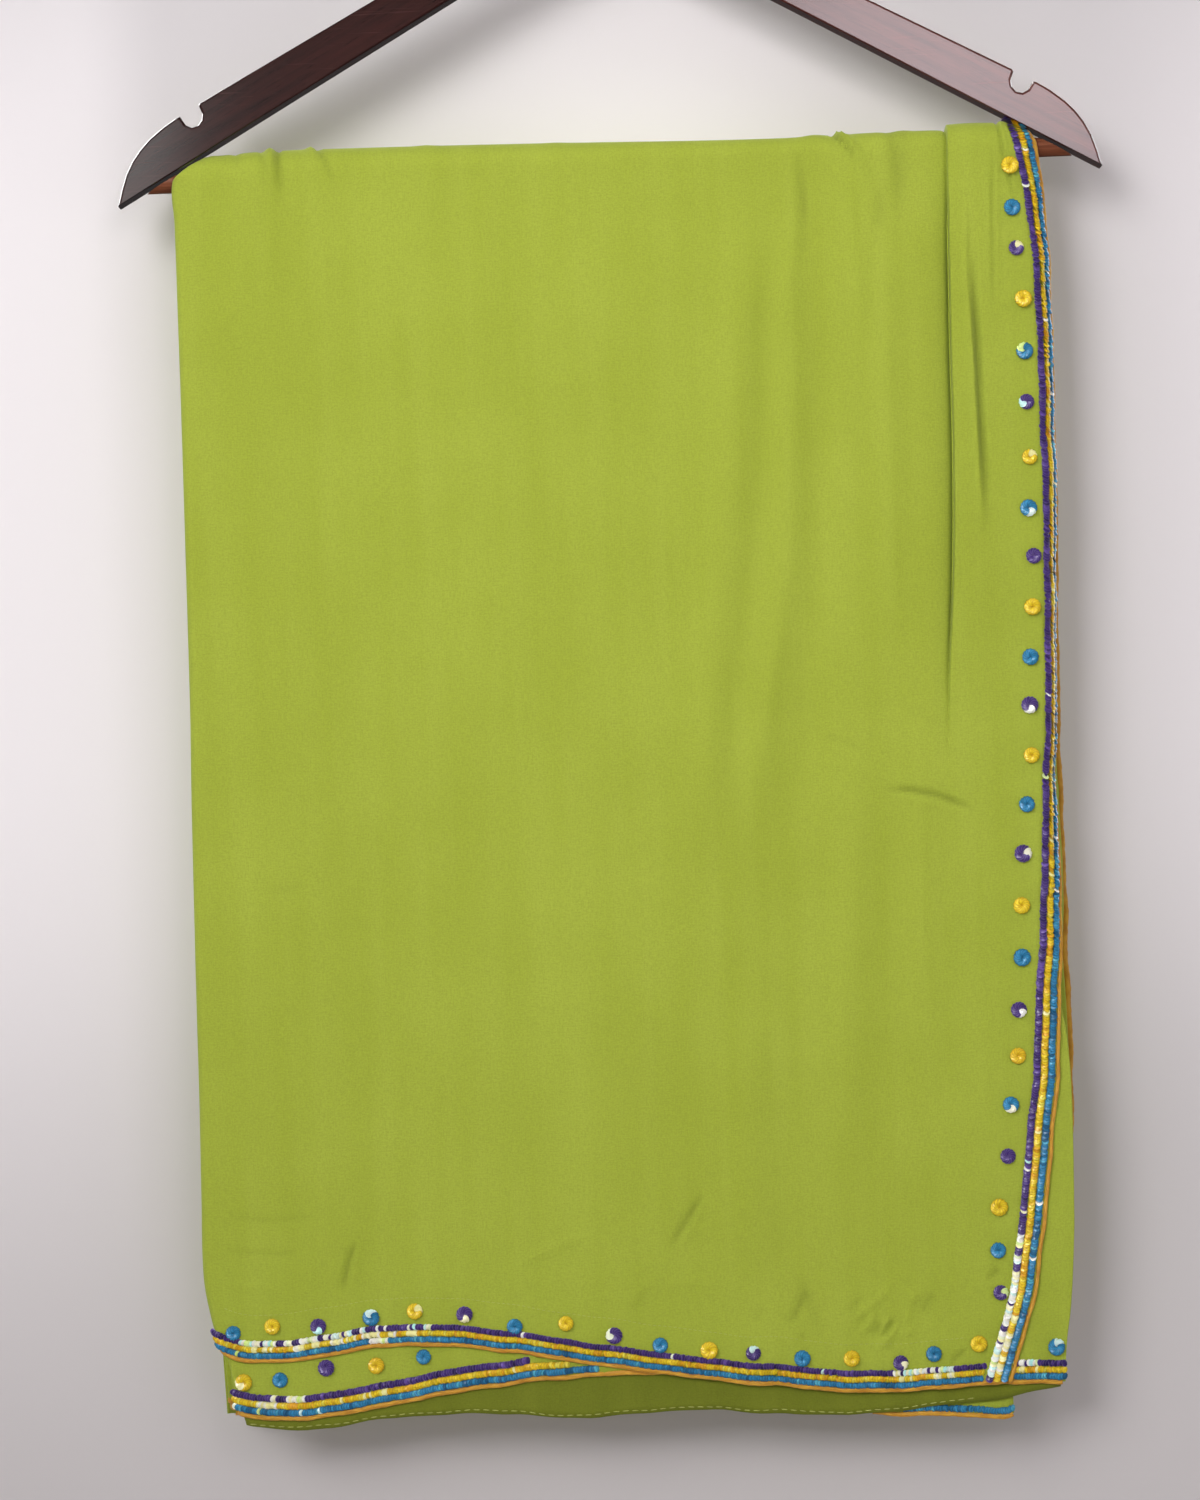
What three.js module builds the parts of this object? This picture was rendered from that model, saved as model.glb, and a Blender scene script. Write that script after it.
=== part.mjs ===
// A saree with a sequinned border, folded along its length and hung over the bar of a
// wooden hanger. Millimetres, +Z up, +X to the right, the front faces -Y.
// The origin is the highest inside point of the hook, where a rail carries the hanger.
//
// The cloth is laid out in drape coordinates:
//   s      length down the front drop; 0 at the bar's centre line, negative over the bar
//          and down the back drop
//   q      length across the cloth, equal to x where the cloth is flat
//   depth  distance in from the outer face of the top layer
import * as THREE from "three";

const RAD = Math.PI / 180;
const SEAM = 0.3; // open gap between pieces that lie on or beside each other

// ---------------------------------------------------------------- hanger sizes
const HANGER = {
  halfSpan: 222.5, // centre line to the outer tip
  tipDrop: 208, // hook's inside top to the tips
  thickness: 12,
  edgeRound: 1.1,
  lowerSlope: 0.567,
  upperSlope: 0.537,
  upperAtCentre: 144.8, // upper edge line above the tips, on the centre line
  neckHalfWidth: 10,
  neckRise: 3.5,
  neckFlare: 26, // distance from the centre at which the neck's curve leaves the upper edge
};

// Outline of an arm's outer end: distance from the centre line, height above the tips.
const ARM_END = [
  { out: 222.5, up: 0 },
  { out: 223.7, up: 1.4 },
  { out: 222.3, up: 7 },
  { out: 220, up: 14 },
  { out: 216.8, up: 20.2 },
  { out: 213, up: 25.4 },
  { out: 208.4, up: 30.2 },
  { out: 202, up: 35.3 },
  { out: 196.2, up: 39 },
  { out: 194.7, up: 39.4 },
  { out: 193.8, up: 38.6 },
  { out: 191.9, up: 35.7 },
  { out: 189.3, up: 34.4 },
  { out: 186.4, up: 35.2 },
  { out: 184.5, up: 37.6 },
  { out: 184.1, up: 40.6 },
  { out: 185.5, up: 44.2 },
  { out: 184.8, up: 45.6 },
];

const BAR = { radius: 4.5, drop: 197.8, sides: 16 };

const HOOK = {
  wire: 2, // wire radius
  bend: 21, // radius of the bend's centre line
  sides: 10,
  startAngle: -58,
  endAngle: 196,
  bendSteps: 22,
  shankSteps: 6,
};

// ----------------------------------------------------------------- cloth sizes
const CLOTH = { wall: 1.2, crestLength: 30, frontHem: 561, backHem: 556 };
const LAYER = CLOTH.wall + SEAM; // pitch from one built layer to the next
const TRIM = {
  rise: 0.8, // sequins above the cloth
  piping: 2.3,
  row: 3, // width of one row of sequins
  pitch: 3.4,
  blue: 4.3, // centre of the blue row, in from the piping's outer edge
};
const BAND = 14; // length of cloth that the end border takes, from where the cloth turns
const BEND = 6; // length over which that turn is made
const PURPLE = 2.85; // the purple row's place along the turn
const LEFT_FOLD = { run: 6, bend: 5.6, angle: 80 * RAD, reach: 4 };
const FOLD_COLUMN = 4.4; // length round the left fold at which every layer has a column
const SIDE_FOLD = { bend: 3, angle: 80 * RAD, reach: 2.2 };

// Shape of the drape at stations along s.
//   left    x of the left folded edge        tuck  x of the long tuck
//   purple  x of the end border's purple row turn  degrees the border is turned away
//   thick   top layer's outer face above the bar's tangent
//   core    length of hidden layers past the start of the turn
const DRAPE = [
  { s: 590, left: -187, tuck: 108, purple: 138, turn: 0, thick: 13.2, core: 40 },
  { s: 572, left: -189.5, tuck: 114, purple: 143.5, turn: 0, thick: 13.2, core: 38 },
  { s: 560, left: -193.3, tuck: 118, purple: 148, turn: 0, thick: 13.2, core: 37 },
  { s: 547, left: -195.2, tuck: 121, purple: 152, turn: 0, thick: 13.2, core: 34 },
  { s: 537, left: -196.9, tuck: 123, purple: 155.4, turn: 0, thick: 13.1, core: 31 },
  { s: 519, left: -201.6, tuck: 125, purple: 160.4, turn: 0, thick: 13, core: 28 },
  { s: 498, left: -204.8, tuck: 127, purple: 164.7, turn: 0, thick: 12.9, core: 25 },
  { s: 462, left: -204.4, tuck: 130, purple: 169.8, turn: 0, thick: 12.7, core: 21 },
  { s: 417, left: -203.5, tuck: 133, purple: 175.6, turn: 8, thick: 12.5, core: 15.5 },
  { s: 375, left: -203, tuck: 136, purple: 179.4, turn: 21, thick: 12.3, core: 12.5 },
  { s: 335, left: -202.4, tuck: 138.5, purple: 182.6, turn: 38, thick: 12, core: 10.5 },
  { s: 300, left: -201.8, tuck: 141, purple: 184.8, turn: 57, thick: 11.8, core: 5 },
  { s: 280, left: -201.4, tuck: 142, purple: 186.1, turn: 64, thick: 11.7, core: 4.5 },
  { s: 240, left: -200.4, tuck: 144, purple: 188.4, turn: 68, thick: 11.4, core: 4.5 },
  { s: 190, left: -199.8, tuck: 148, purple: 189.9, turn: 64, thick: 11, core: 4.5 },
  { s: 140, left: -199.3, tuck: 150.2, purple: 190.9, turn: 55, thick: 10.5, core: 4.8 },
  { s: 90, left: -198.8, tuck: 151, purple: 191.1, turn: 52, thick: 10, core: 5 },
  { s: 50, left: -198.7, tuck: 152, purple: 190.6, turn: 48, thick: 9.3, core: 5 },
  { s: 20, left: -198.8, tuck: 153, purple: 188.2, turn: 38, thick: 8.4, core: 5.5 },
  { s: 0, left: -198.9, tuck: 153.4, purple: 184.5, turn: 30, thick: 7.4, core: 6 },
  { s: -7.5, left: -192.6, tuck: 153.8, purple: 182, turn: 27, thick: 7, core: 5 },
  { s: -15, left: -186.5, tuck: 154, purple: 181, turn: 27, thick: 7, core: 4.5 },
  { s: -22.5, left: -192.6, tuck: 153.5, purple: 182, turn: 27, thick: 7, core: 5 },
  { s: -30, left: -198.6, tuck: 153, purple: 184.5, turn: 27, thick: 7.4, core: 6 },
  { s: -50, left: -199.2, tuck: 152, purple: 187, turn: 22, thick: 8.4, core: 10 },
  { s: -100, left: -199.8, tuck: 150, purple: 188.6, turn: 18, thick: 9.6, core: 11 },
  { s: -185, left: -200.4, tuck: 147, purple: 188.8, turn: 15, thick: 10.6, core: 11 },
  { s: -280, left: -201, tuck: 143, purple: 186, turn: 15, thick: 11.3, core: 11 },
  { s: -370, left: -201.6, tuck: 139, purple: 185.4, turn: 15, thick: 11.9, core: 11 },
  { s: -470, left: -202, tuck: 136, purple: 185.6, turn: 12, thick: 12.4, core: 11 },
  { s: -560, left: -200.6, tuck: 134, purple: 183, turn: 8, thick: 12.7, core: 11 },
  { s: -610, left: -199, tuck: 133, purple: 181, turn: 5, thick: 12.7, core: 11 },
];

// Height of the pile over the bar's top: it sags where the folded edges don't prop it up.
const CREST = [
  { x: -186, rise: 5.6 },
  { x: -176, rise: 7 },
  { x: -155, rise: 8.1 },
  { x: -100, rise: 7.7 },
  { x: -50, rise: 6.9 },
  { x: 0, rise: 5.8 },
  { x: 40, rise: 4.8 },
  { x: 80, rise: 4.3 },
  { x: 105, rise: 4.6 },
  { x: 118, rise: 5 },
  { x: 150, rise: 5.2 },
  { x: 172, rise: 6.3 },
  { x: 190, rise: 6.8 },
];

// Soft upright folds: place across the body as a share, half width as a share, height in mm,
// and the stretch of s that each runs over.
const SOFT_FOLDS = [
  { at: 0.805, wide: 0.024, high: 0.9, from: 20, to: 470 },
  { at: 0.856, wide: 0.022, high: -1.2, from: 10, to: 500 },
  { at: 0.905, wide: 0.022, high: 1, from: 20, to: 440 },
  { at: 0.95, wide: 0.02, high: -0.7, from: 15, to: 330 },
  { at: 0.3, wide: 0.05, high: -0.5, from: -520, to: -80 },
  { at: 0.62, wide: 0.04, high: 0.9, from: -540, to: -60 },
  { at: 0.69, wide: 0.03, high: -1, from: -500, to: -50 },
  { at: 0.905, wide: 0.03, high: 0.7, from: -400, to: -50 },
];
const TUCK = { high: 1.3, half: 0.95, front: 300, back: -330, fade: 90 };

// Bottom edges, measured down from the bar's centre line.
const FRONT_HEM = [
  { x: -205, s: 533.5 },
  { x: -196, s: 534.4 },
  { x: -180, s: 537.2 },
  { x: -165, s: 537 },
  { x: -142, s: 534 },
  { x: -125, s: 532.6 },
  { x: -100, s: 532.6 },
  { x: -81, s: 535 },
  { x: -45, s: 541.2 },
  { x: -9, s: 548 },
  { x: 18, s: 552.4 },
  { x: 63, s: 558.8 },
  { x: 90, s: 561.6 },
  { x: 117, s: 562 },
  { x: 156, s: 560 },
  { x: 200, s: 558 },
];
const SECOND_HEM = [
  { x: -198, s: 558.8 },
  { x: -190, s: 560.6 },
  { x: -170, s: 564.2 },
  { x: -151, s: 562.9 },
  { x: -114, s: 557.9 },
  { x: -82, s: 553.2 },
  { x: -45, s: 550.4 },
  { x: -5, s: 549.6 },
  { x: 45, s: 552 },
  { x: 95, s: 557 },
  { x: 140, s: 559.4 },
  { x: 163, s: 561.1 },
  { x: 185, s: 561.6 },
  { x: 200, s: 561 },
];
const WRONG_HEM = [
  { x: -192, s: 564.5 },
  { x: -175, s: 567.6 },
  { x: -158, s: 568.4 },
  { x: -123, s: 565 },
  { x: -82, s: 564.3 },
  { x: -40, s: 568 },
  { x: 23, s: 566.9 },
  { x: 53, s: 570.4 },
  { x: 95, s: 571.7 },
  { x: 131, s: 569.1 },
  { x: 154, s: 567.3 },
  { x: 185, s: 562.4 },
];
const LOWER_HEM = [
  { x: 90, s: 572.3 },
  { x: 117, s: 574.4 },
  { x: 139, s: 575.5 },
  { x: 156, s: 576.6 },
  { x: 163, s: 574 },
];
const BACK_HEM = [
  { x: -205, s: 566 },
  { x: -150, s: 567 },
  { x: -60, s: 562 },
  { x: 40, s: 555 },
  { x: 120, s: 549 },
  { x: 200, s: 546 },
];
// Right-hand edge of the second layer, which hangs past the top layer's lower half.
const SECOND_SIDE = [
  { s: 385, x: 190.2 },
  { s: 408, x: 193 },
  { s: 433, x: 193.4 },
  { s: 465, x: 192.5 },
  { s: 492, x: 191.6 },
  { s: 524, x: 189 },
  { s: 544, x: 186 },
  { s: 562, x: 184.6 },
  { s: 580, x: 183 },
];

// ---------------------------------------------------------------- curve helpers

// A smooth curve through one column of a table, keyed by another column.
function curveThrough(rows, key, column) {
  const points = rows.map((row) => [row[key], row[column]]).sort((a, b) => a[0] - b[0]);
  const last = points.length - 1;
  const slope = (i) => {
    const before = points[Math.max(i - 1, 0)];
    const after = points[Math.min(i + 1, last)];
    return (after[1] - before[1]) / (after[0] - before[0]);
  };
  return (at) => {
    if (at <= points[0][0]) return points[0][1];
    if (at >= points[last][0]) return points[last][1];
    const i = points.findIndex((point) => point[0] > at) - 1;
    const width = points[i + 1][0] - points[i][0];
    const t = (at - points[i][0]) / width;
    const t2 = t * t;
    const t3 = t2 * t;
    return (
      (2 * t3 - 3 * t2 + 1) * points[i][1] +
      (t3 - 2 * t2 + t) * width * slope(i) +
      (3 * t2 - 2 * t3) * points[i + 1][1] +
      (t3 - t2) * width * slope(i + 1)
    );
  };
}

const smoothStep = (low, high, at) => {
  const t = Math.min(Math.max((at - low) / (high - low), 0), 1);
  return t * t * (3 - 2 * t);
};

const leftAt = curveThrough(DRAPE, "s", "left");
const tuckAt = curveThrough(DRAPE, "s", "tuck");
const purpleAt = curveThrough(DRAPE, "s", "purple");
const turnAt = curveThrough(DRAPE, "s", "turn");
const thickAt = curveThrough(DRAPE, "s", "thick");
const coreSideAt = curveThrough(DRAPE, "s", "core");
const crestAt = curveThrough(CREST, "x", "rise");
const frontHemAt = curveThrough(FRONT_HEM, "x", "s");
const secondHemAt = curveThrough(SECOND_HEM, "x", "s");
const wrongHemAt = curveThrough(WRONG_HEM, "x", "s");
const lowerHemAt = curveThrough(LOWER_HEM, "x", "s");
const backHemAt = curveThrough(BACK_HEM, "x", "s");
const secondSideAt = curveThrough(SECOND_SIDE, "s", "x");

// ------------------------------------------------------------------ drape shape

const foldStart = (s) => leftAt(s) + LEFT_FOLD.reach;
const bandStart = (s) => purpleAt(s) - PURPLE;

// Place and outward direction of the path that the pile's inner face follows.
function spine(s) {
  const radius = BAR.radius + SEAM;
  if (s >= 0) return { y: -radius, z: -BAR.drop - s, outY: -1, outZ: 0 };
  if (s <= -CLOTH.crestLength) {
    return { y: radius, z: -BAR.drop + s + CLOTH.crestLength, outY: 1, outZ: 0 };
  }
  const angle = (-s / CLOTH.crestLength) * Math.PI;
  const outY = -Math.cos(angle);
  const outZ = Math.sin(angle);
  return { y: radius * outY, z: -BAR.drop + radius * outZ, outY, outZ };
}

// Height of the top layer's outer face above that path.
function pileHeight(q, s) {
  const drop = s >= 0 ? s : Math.max(-s - CLOTH.crestLength, 0);
  const hanging = smoothStep(0, 70, drop);
  const start = foldStart(s);
  const share = (q - start) / (tuckAt(s) - start);
  let height = crestAt(q) * (1 - hanging) + thickAt(s) * hanging;
  for (const fold of SOFT_FOLDS) {
    const run = smoothStep(fold.from, fold.from + 60, s) * (1 - smoothStep(fold.to - 80, fold.to, s));
    height += fold.high * run * Math.exp(-(((share - fold.at) / fold.wide) ** 2));
  }
  const tuckRun =
    1 - smoothStep(TUCK.front - TUCK.fade, TUCK.front, s) - smoothStep(-TUCK.back - TUCK.fade, -TUCK.back, -s);
  const past = smoothStep(-TUCK.half, TUCK.half, q - tuckAt(s));
  return height + TUCK.high * tuckRun * past * (1 - 0.75 * smoothStep(4, 30, q - tuckAt(s)));
}

// How far a turn of a given angle, spread over a given length, has moved after a run.
function turned(run, angle, length) {
  if (angle < 1e-6) return { along: run, down: 0, angle: 0 };
  const within = Math.min(run, length);
  const now = (angle * within) / length;
  const radius = length / angle;
  return {
    along: radius * Math.sin(now) + (run - within) * Math.cos(now),
    down: radius * (1 - Math.cos(now)) + (run - within) * Math.sin(now),
    angle: now,
  };
}

// Point of the drape at q, s and depth; past sideEnd the cloth folds back under itself.
function drapePoint(q, s, depth, sideEnd = Infinity) {
  const path = spine(s);
  const low = foldStart(s);
  const high = bandStart(s);
  const flat = Math.min(Math.max(q, low), high);
  let x = flat;
  let height = pileHeight(flat, s);
  let lean = 0;
  if (q < low) {
    const fold = turned(low - q, LEFT_FOLD.angle, LEFT_FOLD.bend);
    x -= fold.along;
    height -= fold.down;
    lean = -fold.angle;
  } else if (q > high) {
    const run = q - high;
    const turn = turned(Math.min(run, sideEnd), turnAt(s) * RAD, BEND);
    x += turn.along;
    height -= turn.down;
    lean = turn.angle;
    if (run > sideEnd) {
      const fold = turned(run - sideEnd, SIDE_FOLD.angle, SIDE_FOLD.bend);
      x += fold.along * Math.cos(lean) - fold.down * Math.sin(lean);
      height -= fold.along * Math.sin(lean) + fold.down * Math.cos(lean);
      lean += fold.angle;
    }
  }
  x -= depth * Math.sin(lean);
  height -= depth * Math.cos(lean);
  return new THREE.Vector3(x, path.y + height * path.outY, path.z + height * path.outZ);
}

// Length past the start of the turn at which a lower layer's edge reaches a given x.
function runToReach(x, s) {
  const angle = turnAt(s) * RAD;
  const bend = turned(BEND, angle, BEND);
  return BEND + (x - bandStart(s) - bend.along) / Math.cos(angle);
}

// ------------------------------------------------------------------ solid maker

// A closed body over a grid of across x through x along cells, shaped by place(i, k, j).
function gridBody(across, through, along, place) {
  const positions = [];
  const numbers = new Map();
  const vertex = (i, k, j) => {
    const key = (i * (through + 1) + k) * (along + 1) + j;
    if (!numbers.has(key)) {
      numbers.set(key, positions.length / 3);
      positions.push(...place(i, k, j).toArray());
    }
    return numbers.get(key);
  };
  const triangles = [];
  const face = (rows, columns, at, flip) => {
    for (let a = 0; a < rows; a++) {
      for (let b = 0; b < columns; b++) {
        const corners = [at(a, b), at(a + 1, b), at(a + 1, b + 1), at(a, b + 1)];
        if (flip) corners.reverse();
        const first = flip ? 3 : 0;
        const ring = (n) => corners[(first + n) % 4];
        triangles.push(ring(0), ring(1), ring(2), ring(0), ring(2), ring(3));
      }
    }
  };
  face(across, along, (i, j) => vertex(i, 0, j), false);
  face(across, along, (i, j) => vertex(i, through, j), true);
  face(through, along, (k, j) => vertex(0, k, j), true);
  face(through, along, (k, j) => vertex(across, k, j), false);
  face(across, through, (i, k) => vertex(i, k, 0), true);
  face(across, through, (i, k) => vertex(i, k, along), false);
  const geometry = new THREE.BufferGeometry();
  geometry.setAttribute("position", new THREE.Float32BufferAttribute(positions, 3));
  geometry.setIndex(triangles);
  return facingOut(geometry);
}

// Turns every face over when the body's signed volume is negative.
function facingOut(geometry) {
  const position = geometry.getAttribute("position");
  const index = geometry.getIndex();
  const a = new THREE.Vector3();
  const b = new THREE.Vector3();
  const c = new THREE.Vector3();
  let volume = 0;
  for (let n = 0; n < index.count; n += 3) {
    a.fromBufferAttribute(position, index.getX(n));
    b.fromBufferAttribute(position, index.getX(n + 1));
    c.fromBufferAttribute(position, index.getX(n + 2));
    volume += a.dot(b.cross(c));
  }
  if (volume < 0) {
    for (let n = 0; n < index.count; n += 3) {
      const kept = index.getX(n);
      index.setX(n, index.getX(n + 1));
      index.setX(n + 1, kept);
    }
  }
  geometry.computeVertexNormals();
  return geometry;
}

// --------------------------------------------------------------- cloth stations

// Share of the body at which the grid has a column, from the left fold to the tuck.
const BODY_SHARES = [0, 0.1, 0.22, 0.36, 0.5, 0.62, 0.69, 0.76, 0.805, 0.83, 0.856, 0.88, 0.905, 0.95];
const SIDE_SHARES = [0.3, 0.65, 1];

// Columns across the flat part of the cloth at s.
function flatColumns(s) {
  const start = foldStart(s);
  const tuck = tuckAt(s);
  const band = bandStart(s);
  const past = tuck + TUCK.half;
  return [
    ...BODY_SHARES.map((share) => start + share * (tuck - TUCK.half - start)),
    tuck - TUCK.half,
    past,
    ...SIDE_SHARES.map((share) => past + share * (band - past)),
  ];
}

const FRONT_LEVELS = [430, 385, 335, 285, 240, 190, 140, 90, 50, 20, 0];
const CREST_STEPS = 8;
const BACK_LEVELS = [0, 20, 60, 130, 220, 310, 400, 470];
const HEM_RISES = [0, 14, 38, 75];
const BACK_RISES = [40, 0];

// Values of s from the front hem to the back hem, for a column whose hems are given.
function stations(frontHem, backHem) {
  const crest = [];
  for (let n = 1; n < CREST_STEPS; n++) crest.push((-n / CREST_STEPS) * CLOTH.crestLength);
  return [
    ...HEM_RISES.map((rise) => frontHem - rise),
    ...FRONT_LEVELS,
    ...crest,
    ...BACK_LEVELS.map((drop) => -CLOTH.crestLength - drop),
    ...BACK_RISES.map((rise) => -CLOTH.crestLength - backHem + rise),
  ];
}

const STATIONS = stations(CLOTH.frontHem, CLOTH.backHem).length;

// s of station j in a column near x, kept back from the hems by a margin.
function stationAt(j, x, margin) {
  return stations(frontHemAt(x) - margin, backHemAt(x) - margin)[j];
}

// A grid whose columns come from columnsAt(s); a column's hem is read at its place there.
function columnAndStation(columnsAt, i, j, margin) {
  let s = stationAt(j, columnsAt(CLOTH.frontHem)[i], margin);
  let q = columnsAt(s)[i];
  s = stationAt(j, q, margin);
  q = columnsAt(s)[i];
  return { q, s };
}

const EDGE = TRIM.piping + SEAM; // the panel stops this far inside the piping's outer edge

// ----------------------------------------------------------------- cloth pieces

// Top layer: front drop, over the bar, back drop, with its end edge at the right.
function topLayer() {
  const columns = (s) => {
    const start = foldStart(s);
    const band = bandStart(s);
    return [
      start - LEFT_FOLD.run,
      start - FOLD_COLUMN,
      start - FOLD_COLUMN / 2,
      ...flatColumns(s),
      band + BEND / 3,
      band + (2 * BEND) / 3,
      band + BEND,
      band + BAND - EDGE,
    ];
  };
  const across = columns(0).length - 1;
  return gridBody(across, 1, STATIONS - 1, (i, k, j) => {
    const { q, s } = columnAndStation(columns, i, j, EDGE);
    return drapePoint(q, s, k * CLOTH.wall);
  });
}

// Depth at which the hidden layers start: deeper where more built layers lie on them.
function coreDepth(s) {
  return (
    LAYER +
    LAYER * smoothStep(300, 334, s) +
    LAYER * smoothStep(440, 482, s) +
    (LAYER + LOWER.lift) * smoothStep(488, 519, s)
  );
}

const LOWER = { from: 95, to: 159.5, lift: 0.6, depth: 3 * LAYER + 0.6 };
// How far the core's two leftmost columns lie out from the start of the left fold, and down.
const CORE_FOLD = [
  { out: 2.1, down: 1.45 },
  { out: 1.25, down: 0.4 },
];
const CORE = { rows: 6, lobe: 1, frontShort: 9, backShort: 7, step: 2.5 };

// Hidden layers as one rounded body, ridged where their folded edges and hems lie.
function foldedCore() {
  const columns = (s) => {
    const start = foldStart(s);
    const band = bandStart(s);
    const end = coreSideAt(s);
    const bend = Math.min(BEND, end - 1);
    return [
      start,
      start,
      ...flatColumns(s),
      band + bend / 3,
      band + (2 * bend) / 3,
      band + bend,
      band + end,
    ];
  };
  const across = columns(0).length - 1;
  return gridBody(across, CORE.rows, STATIONS - 1, (i, k, j) => {
    const ridge = k % 2;
    let { q, s } = columnAndStation(columns, i, j, 0);
    if (j < HEM_RISES.length) {
      const hem = wrongHemAt(q) - CORE.frontShort;
      s = hem - HEM_RISES[j] + (j === 0 ? CORE.step * ridge : 0);
      q = columns(s)[i];
    } else if (j >= STATIONS - BACK_RISES.length) {
      s += CORE.backShort - (j === STATIONS - 1 ? CORE.step * ridge : 0);
    }
    const rounded = CORE_FOLD[i] ?? { out: 0, down: 0 };
    const tight = 1 - 0.6 * smoothStep(LAYER, 2 * LAYER, coreDepth(s));
    const outer = drapePoint(q, s, coreDepth(s) + rounded.down * tight);
    outer.x -= rounded.out * tight;
    const path = spine(s);
    const pastBand = q - bandStart(s);
    const inner = new THREE.Vector3(outer.x, path.y, path.z);
    if (pastBand > 0) {
      const edge = drapePoint(columns(s)[across], s, coreDepth(s));
      inner.x = bandStart(s) + ((edge.x - bandStart(s)) * pastBand) / coreSideAt(s);
    }
    const point = outer.lerp(inner, k / CORE.rows);
    if (i === 0) point.x -= CORE.lobe * (ridge - 0.6) * tight;
    if (i === across) point.x += CORE.lobe * (0.6 * ridge - 0.5);
    return point;
  });
}

const SECOND_LEVELS = [0, 14, 38, 75, 120, 170];
const SECOND_RUN = 2.6; // length of the fold at its right-hand edge that is built

// Second layer that shows: below the top layer's hem at the left and past its edge at right.
function secondLayer() {
  const sideEnd = (s) => runToReach(secondSideAt(s) - SIDE_FOLD.reach, s);
  const columns = (s) => {
    const start = foldStart(s);
    const band = bandStart(s);
    const end = sideEnd(s);
    return [
      start - FOLD_COLUMN,
      start - FOLD_COLUMN / 2,
      ...flatColumns(s),
      band + BEND / 3,
      band + (2 * BEND) / 3,
      band + BEND,
      band + end,
      band + end + SECOND_RUN / 2,
      band + end + SECOND_RUN,
    ];
  };
  const across = columns(500).length - 1;
  return gridBody(across, 1, SECOND_LEVELS.length - 1, (i, k, j) => {
    const rise = SECOND_LEVELS[j];
    let q = columns(CLOTH.frontHem)[i];
    for (let pass = 0; pass < 2; pass++) q = columns(secondHemAt(q) - EDGE - rise)[i];
    const s = secondHemAt(q) - EDGE - rise;
    return drapePoint(q, s, LAYER + k * CLOTH.wall, sideEnd(s));
  });
}

// A flat piece between two x values near the hem, hung at a depth.
function hemPiece(from, to, columns, hemAt, rises, depth, wall) {
  return gridBody(columns, 1, rises.length - 1, (i, k, j) => {
    const x = from + ((to - from) * i) / columns;
    return drapePoint(x, hemAt(x) - rises[j], depth + k * wall);
  });
}

// ------------------------------------------------------------------ trim pieces

// A strip along the end border, from q0 to q1 past the turn, between two depths.
function endStrip(q0, q1, outer, inner, margin) {
  return gridBody(1, 1, STATIONS - 1, (i, k, j) => {
    const columns = (s) => [bandStart(s) + q0, bandStart(s) + q1];
    const { q, s } = columnAndStation(columns, i, j, margin);
    return drapePoint(q, s, k === 0 ? outer : inner);
  });
}

// A strip along a hem, from rise0 to rise1 above its lowest edge, between two depths.
function hemStrip(columns, hemAt, side, rise0, rise1, outer, inner) {
  const across = columns(0).length - 1;
  return gridBody(across, 1, 1, (i, k, j) => {
    const rise = j === 0 ? rise0 : rise1;
    const toStation = (hem) => (side > 0 ? hem - rise : -CLOTH.crestLength - hem + rise);
    let q = columns(toStation(CLOTH.frontHem))[i];
    for (let pass = 0; pass < 2; pass++) q = columns(toStation(hemAt(q)))[i];
    const s = toStation(hemAt(q));
    return drapePoint(q, s, k === 0 ? outer : inner);
  });
}

const ROWS = [
  { colour: "blue", rise: TRIM.blue },
  { colour: "yellow", rise: TRIM.blue + TRIM.pitch },
  { colour: "purple", rise: TRIM.blue + 2 * TRIM.pitch },
];
const PIPING = { outer: -0.5, inner: CLOTH.wall };
const SEQUINS = { outer: -SEAM - 0.1 - TRIM.rise, inner: -SEAM - 0.1 };

// ---------------------------------------------------------------------- hanger

// One arm: a flat board cut to outline with its edges eased, mirrored by side.
function armGeometry(side) {
  const round = HANGER.edgeRound;
  const upper = (out) => HANGER.upperAtCentre - HANGER.upperSlope * out;
  const lower = (out) => HANGER.lowerSlope * (HANGER.halfSpan - out);
  const neckTop = upper(HANGER.neckHalfWidth) + HANGER.neckRise;
  const inset = SEAM / 2 + round;
  const outline = [
    new THREE.Vector2(inset, lower(0) + round * 1.2),
    ...ARM_END.map((row) => new THREE.Vector2(row.out, row.up)),
    new THREE.Vector2(HANGER.neckFlare, upper(HANGER.neckFlare)),
    new THREE.Vector2(HANGER.neckHalfWidth + 6, upper(HANGER.neckHalfWidth + 6) + 1.2),
    new THREE.Vector2(HANGER.neckHalfWidth, neckTop - 1.4),
    new THREE.Vector2(HANGER.neckHalfWidth - 2.5, neckTop),
    new THREE.Vector2(inset, neckTop - round),
  ];
  const board = new THREE.Shape(outline.map((point) => insetFrom(point, outline, round, inset)));
  const geometry = new THREE.ExtrudeGeometry(board, {
    depth: HANGER.thickness - 2 * round,
    bevelEnabled: true,
    bevelSize: round,
    bevelThickness: round,
    bevelSegments: 2,
  });
  geometry.translate(0, -HANGER.tipDrop, -(HANGER.thickness - 2 * round) / 2);
  geometry.rotateX(Math.PI / 2);
  if (side < 0) geometry.rotateZ(Math.PI);
  return geometry;
}

// Moves an outline point inwards by the edge rounding, so that the board keeps its size.
function insetFrom(point, outline, round, jointX) {
  if (point.x <= jointX) return point;
  const at = outline.indexOf(point);
  const before = outline[(at + outline.length - 1) % outline.length];
  const after = outline[(at + 1) % outline.length];
  const along = after.clone().sub(before).normalize();
  return new THREE.Vector2(point.x - along.y * round, point.y + along.x * round);
}

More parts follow.
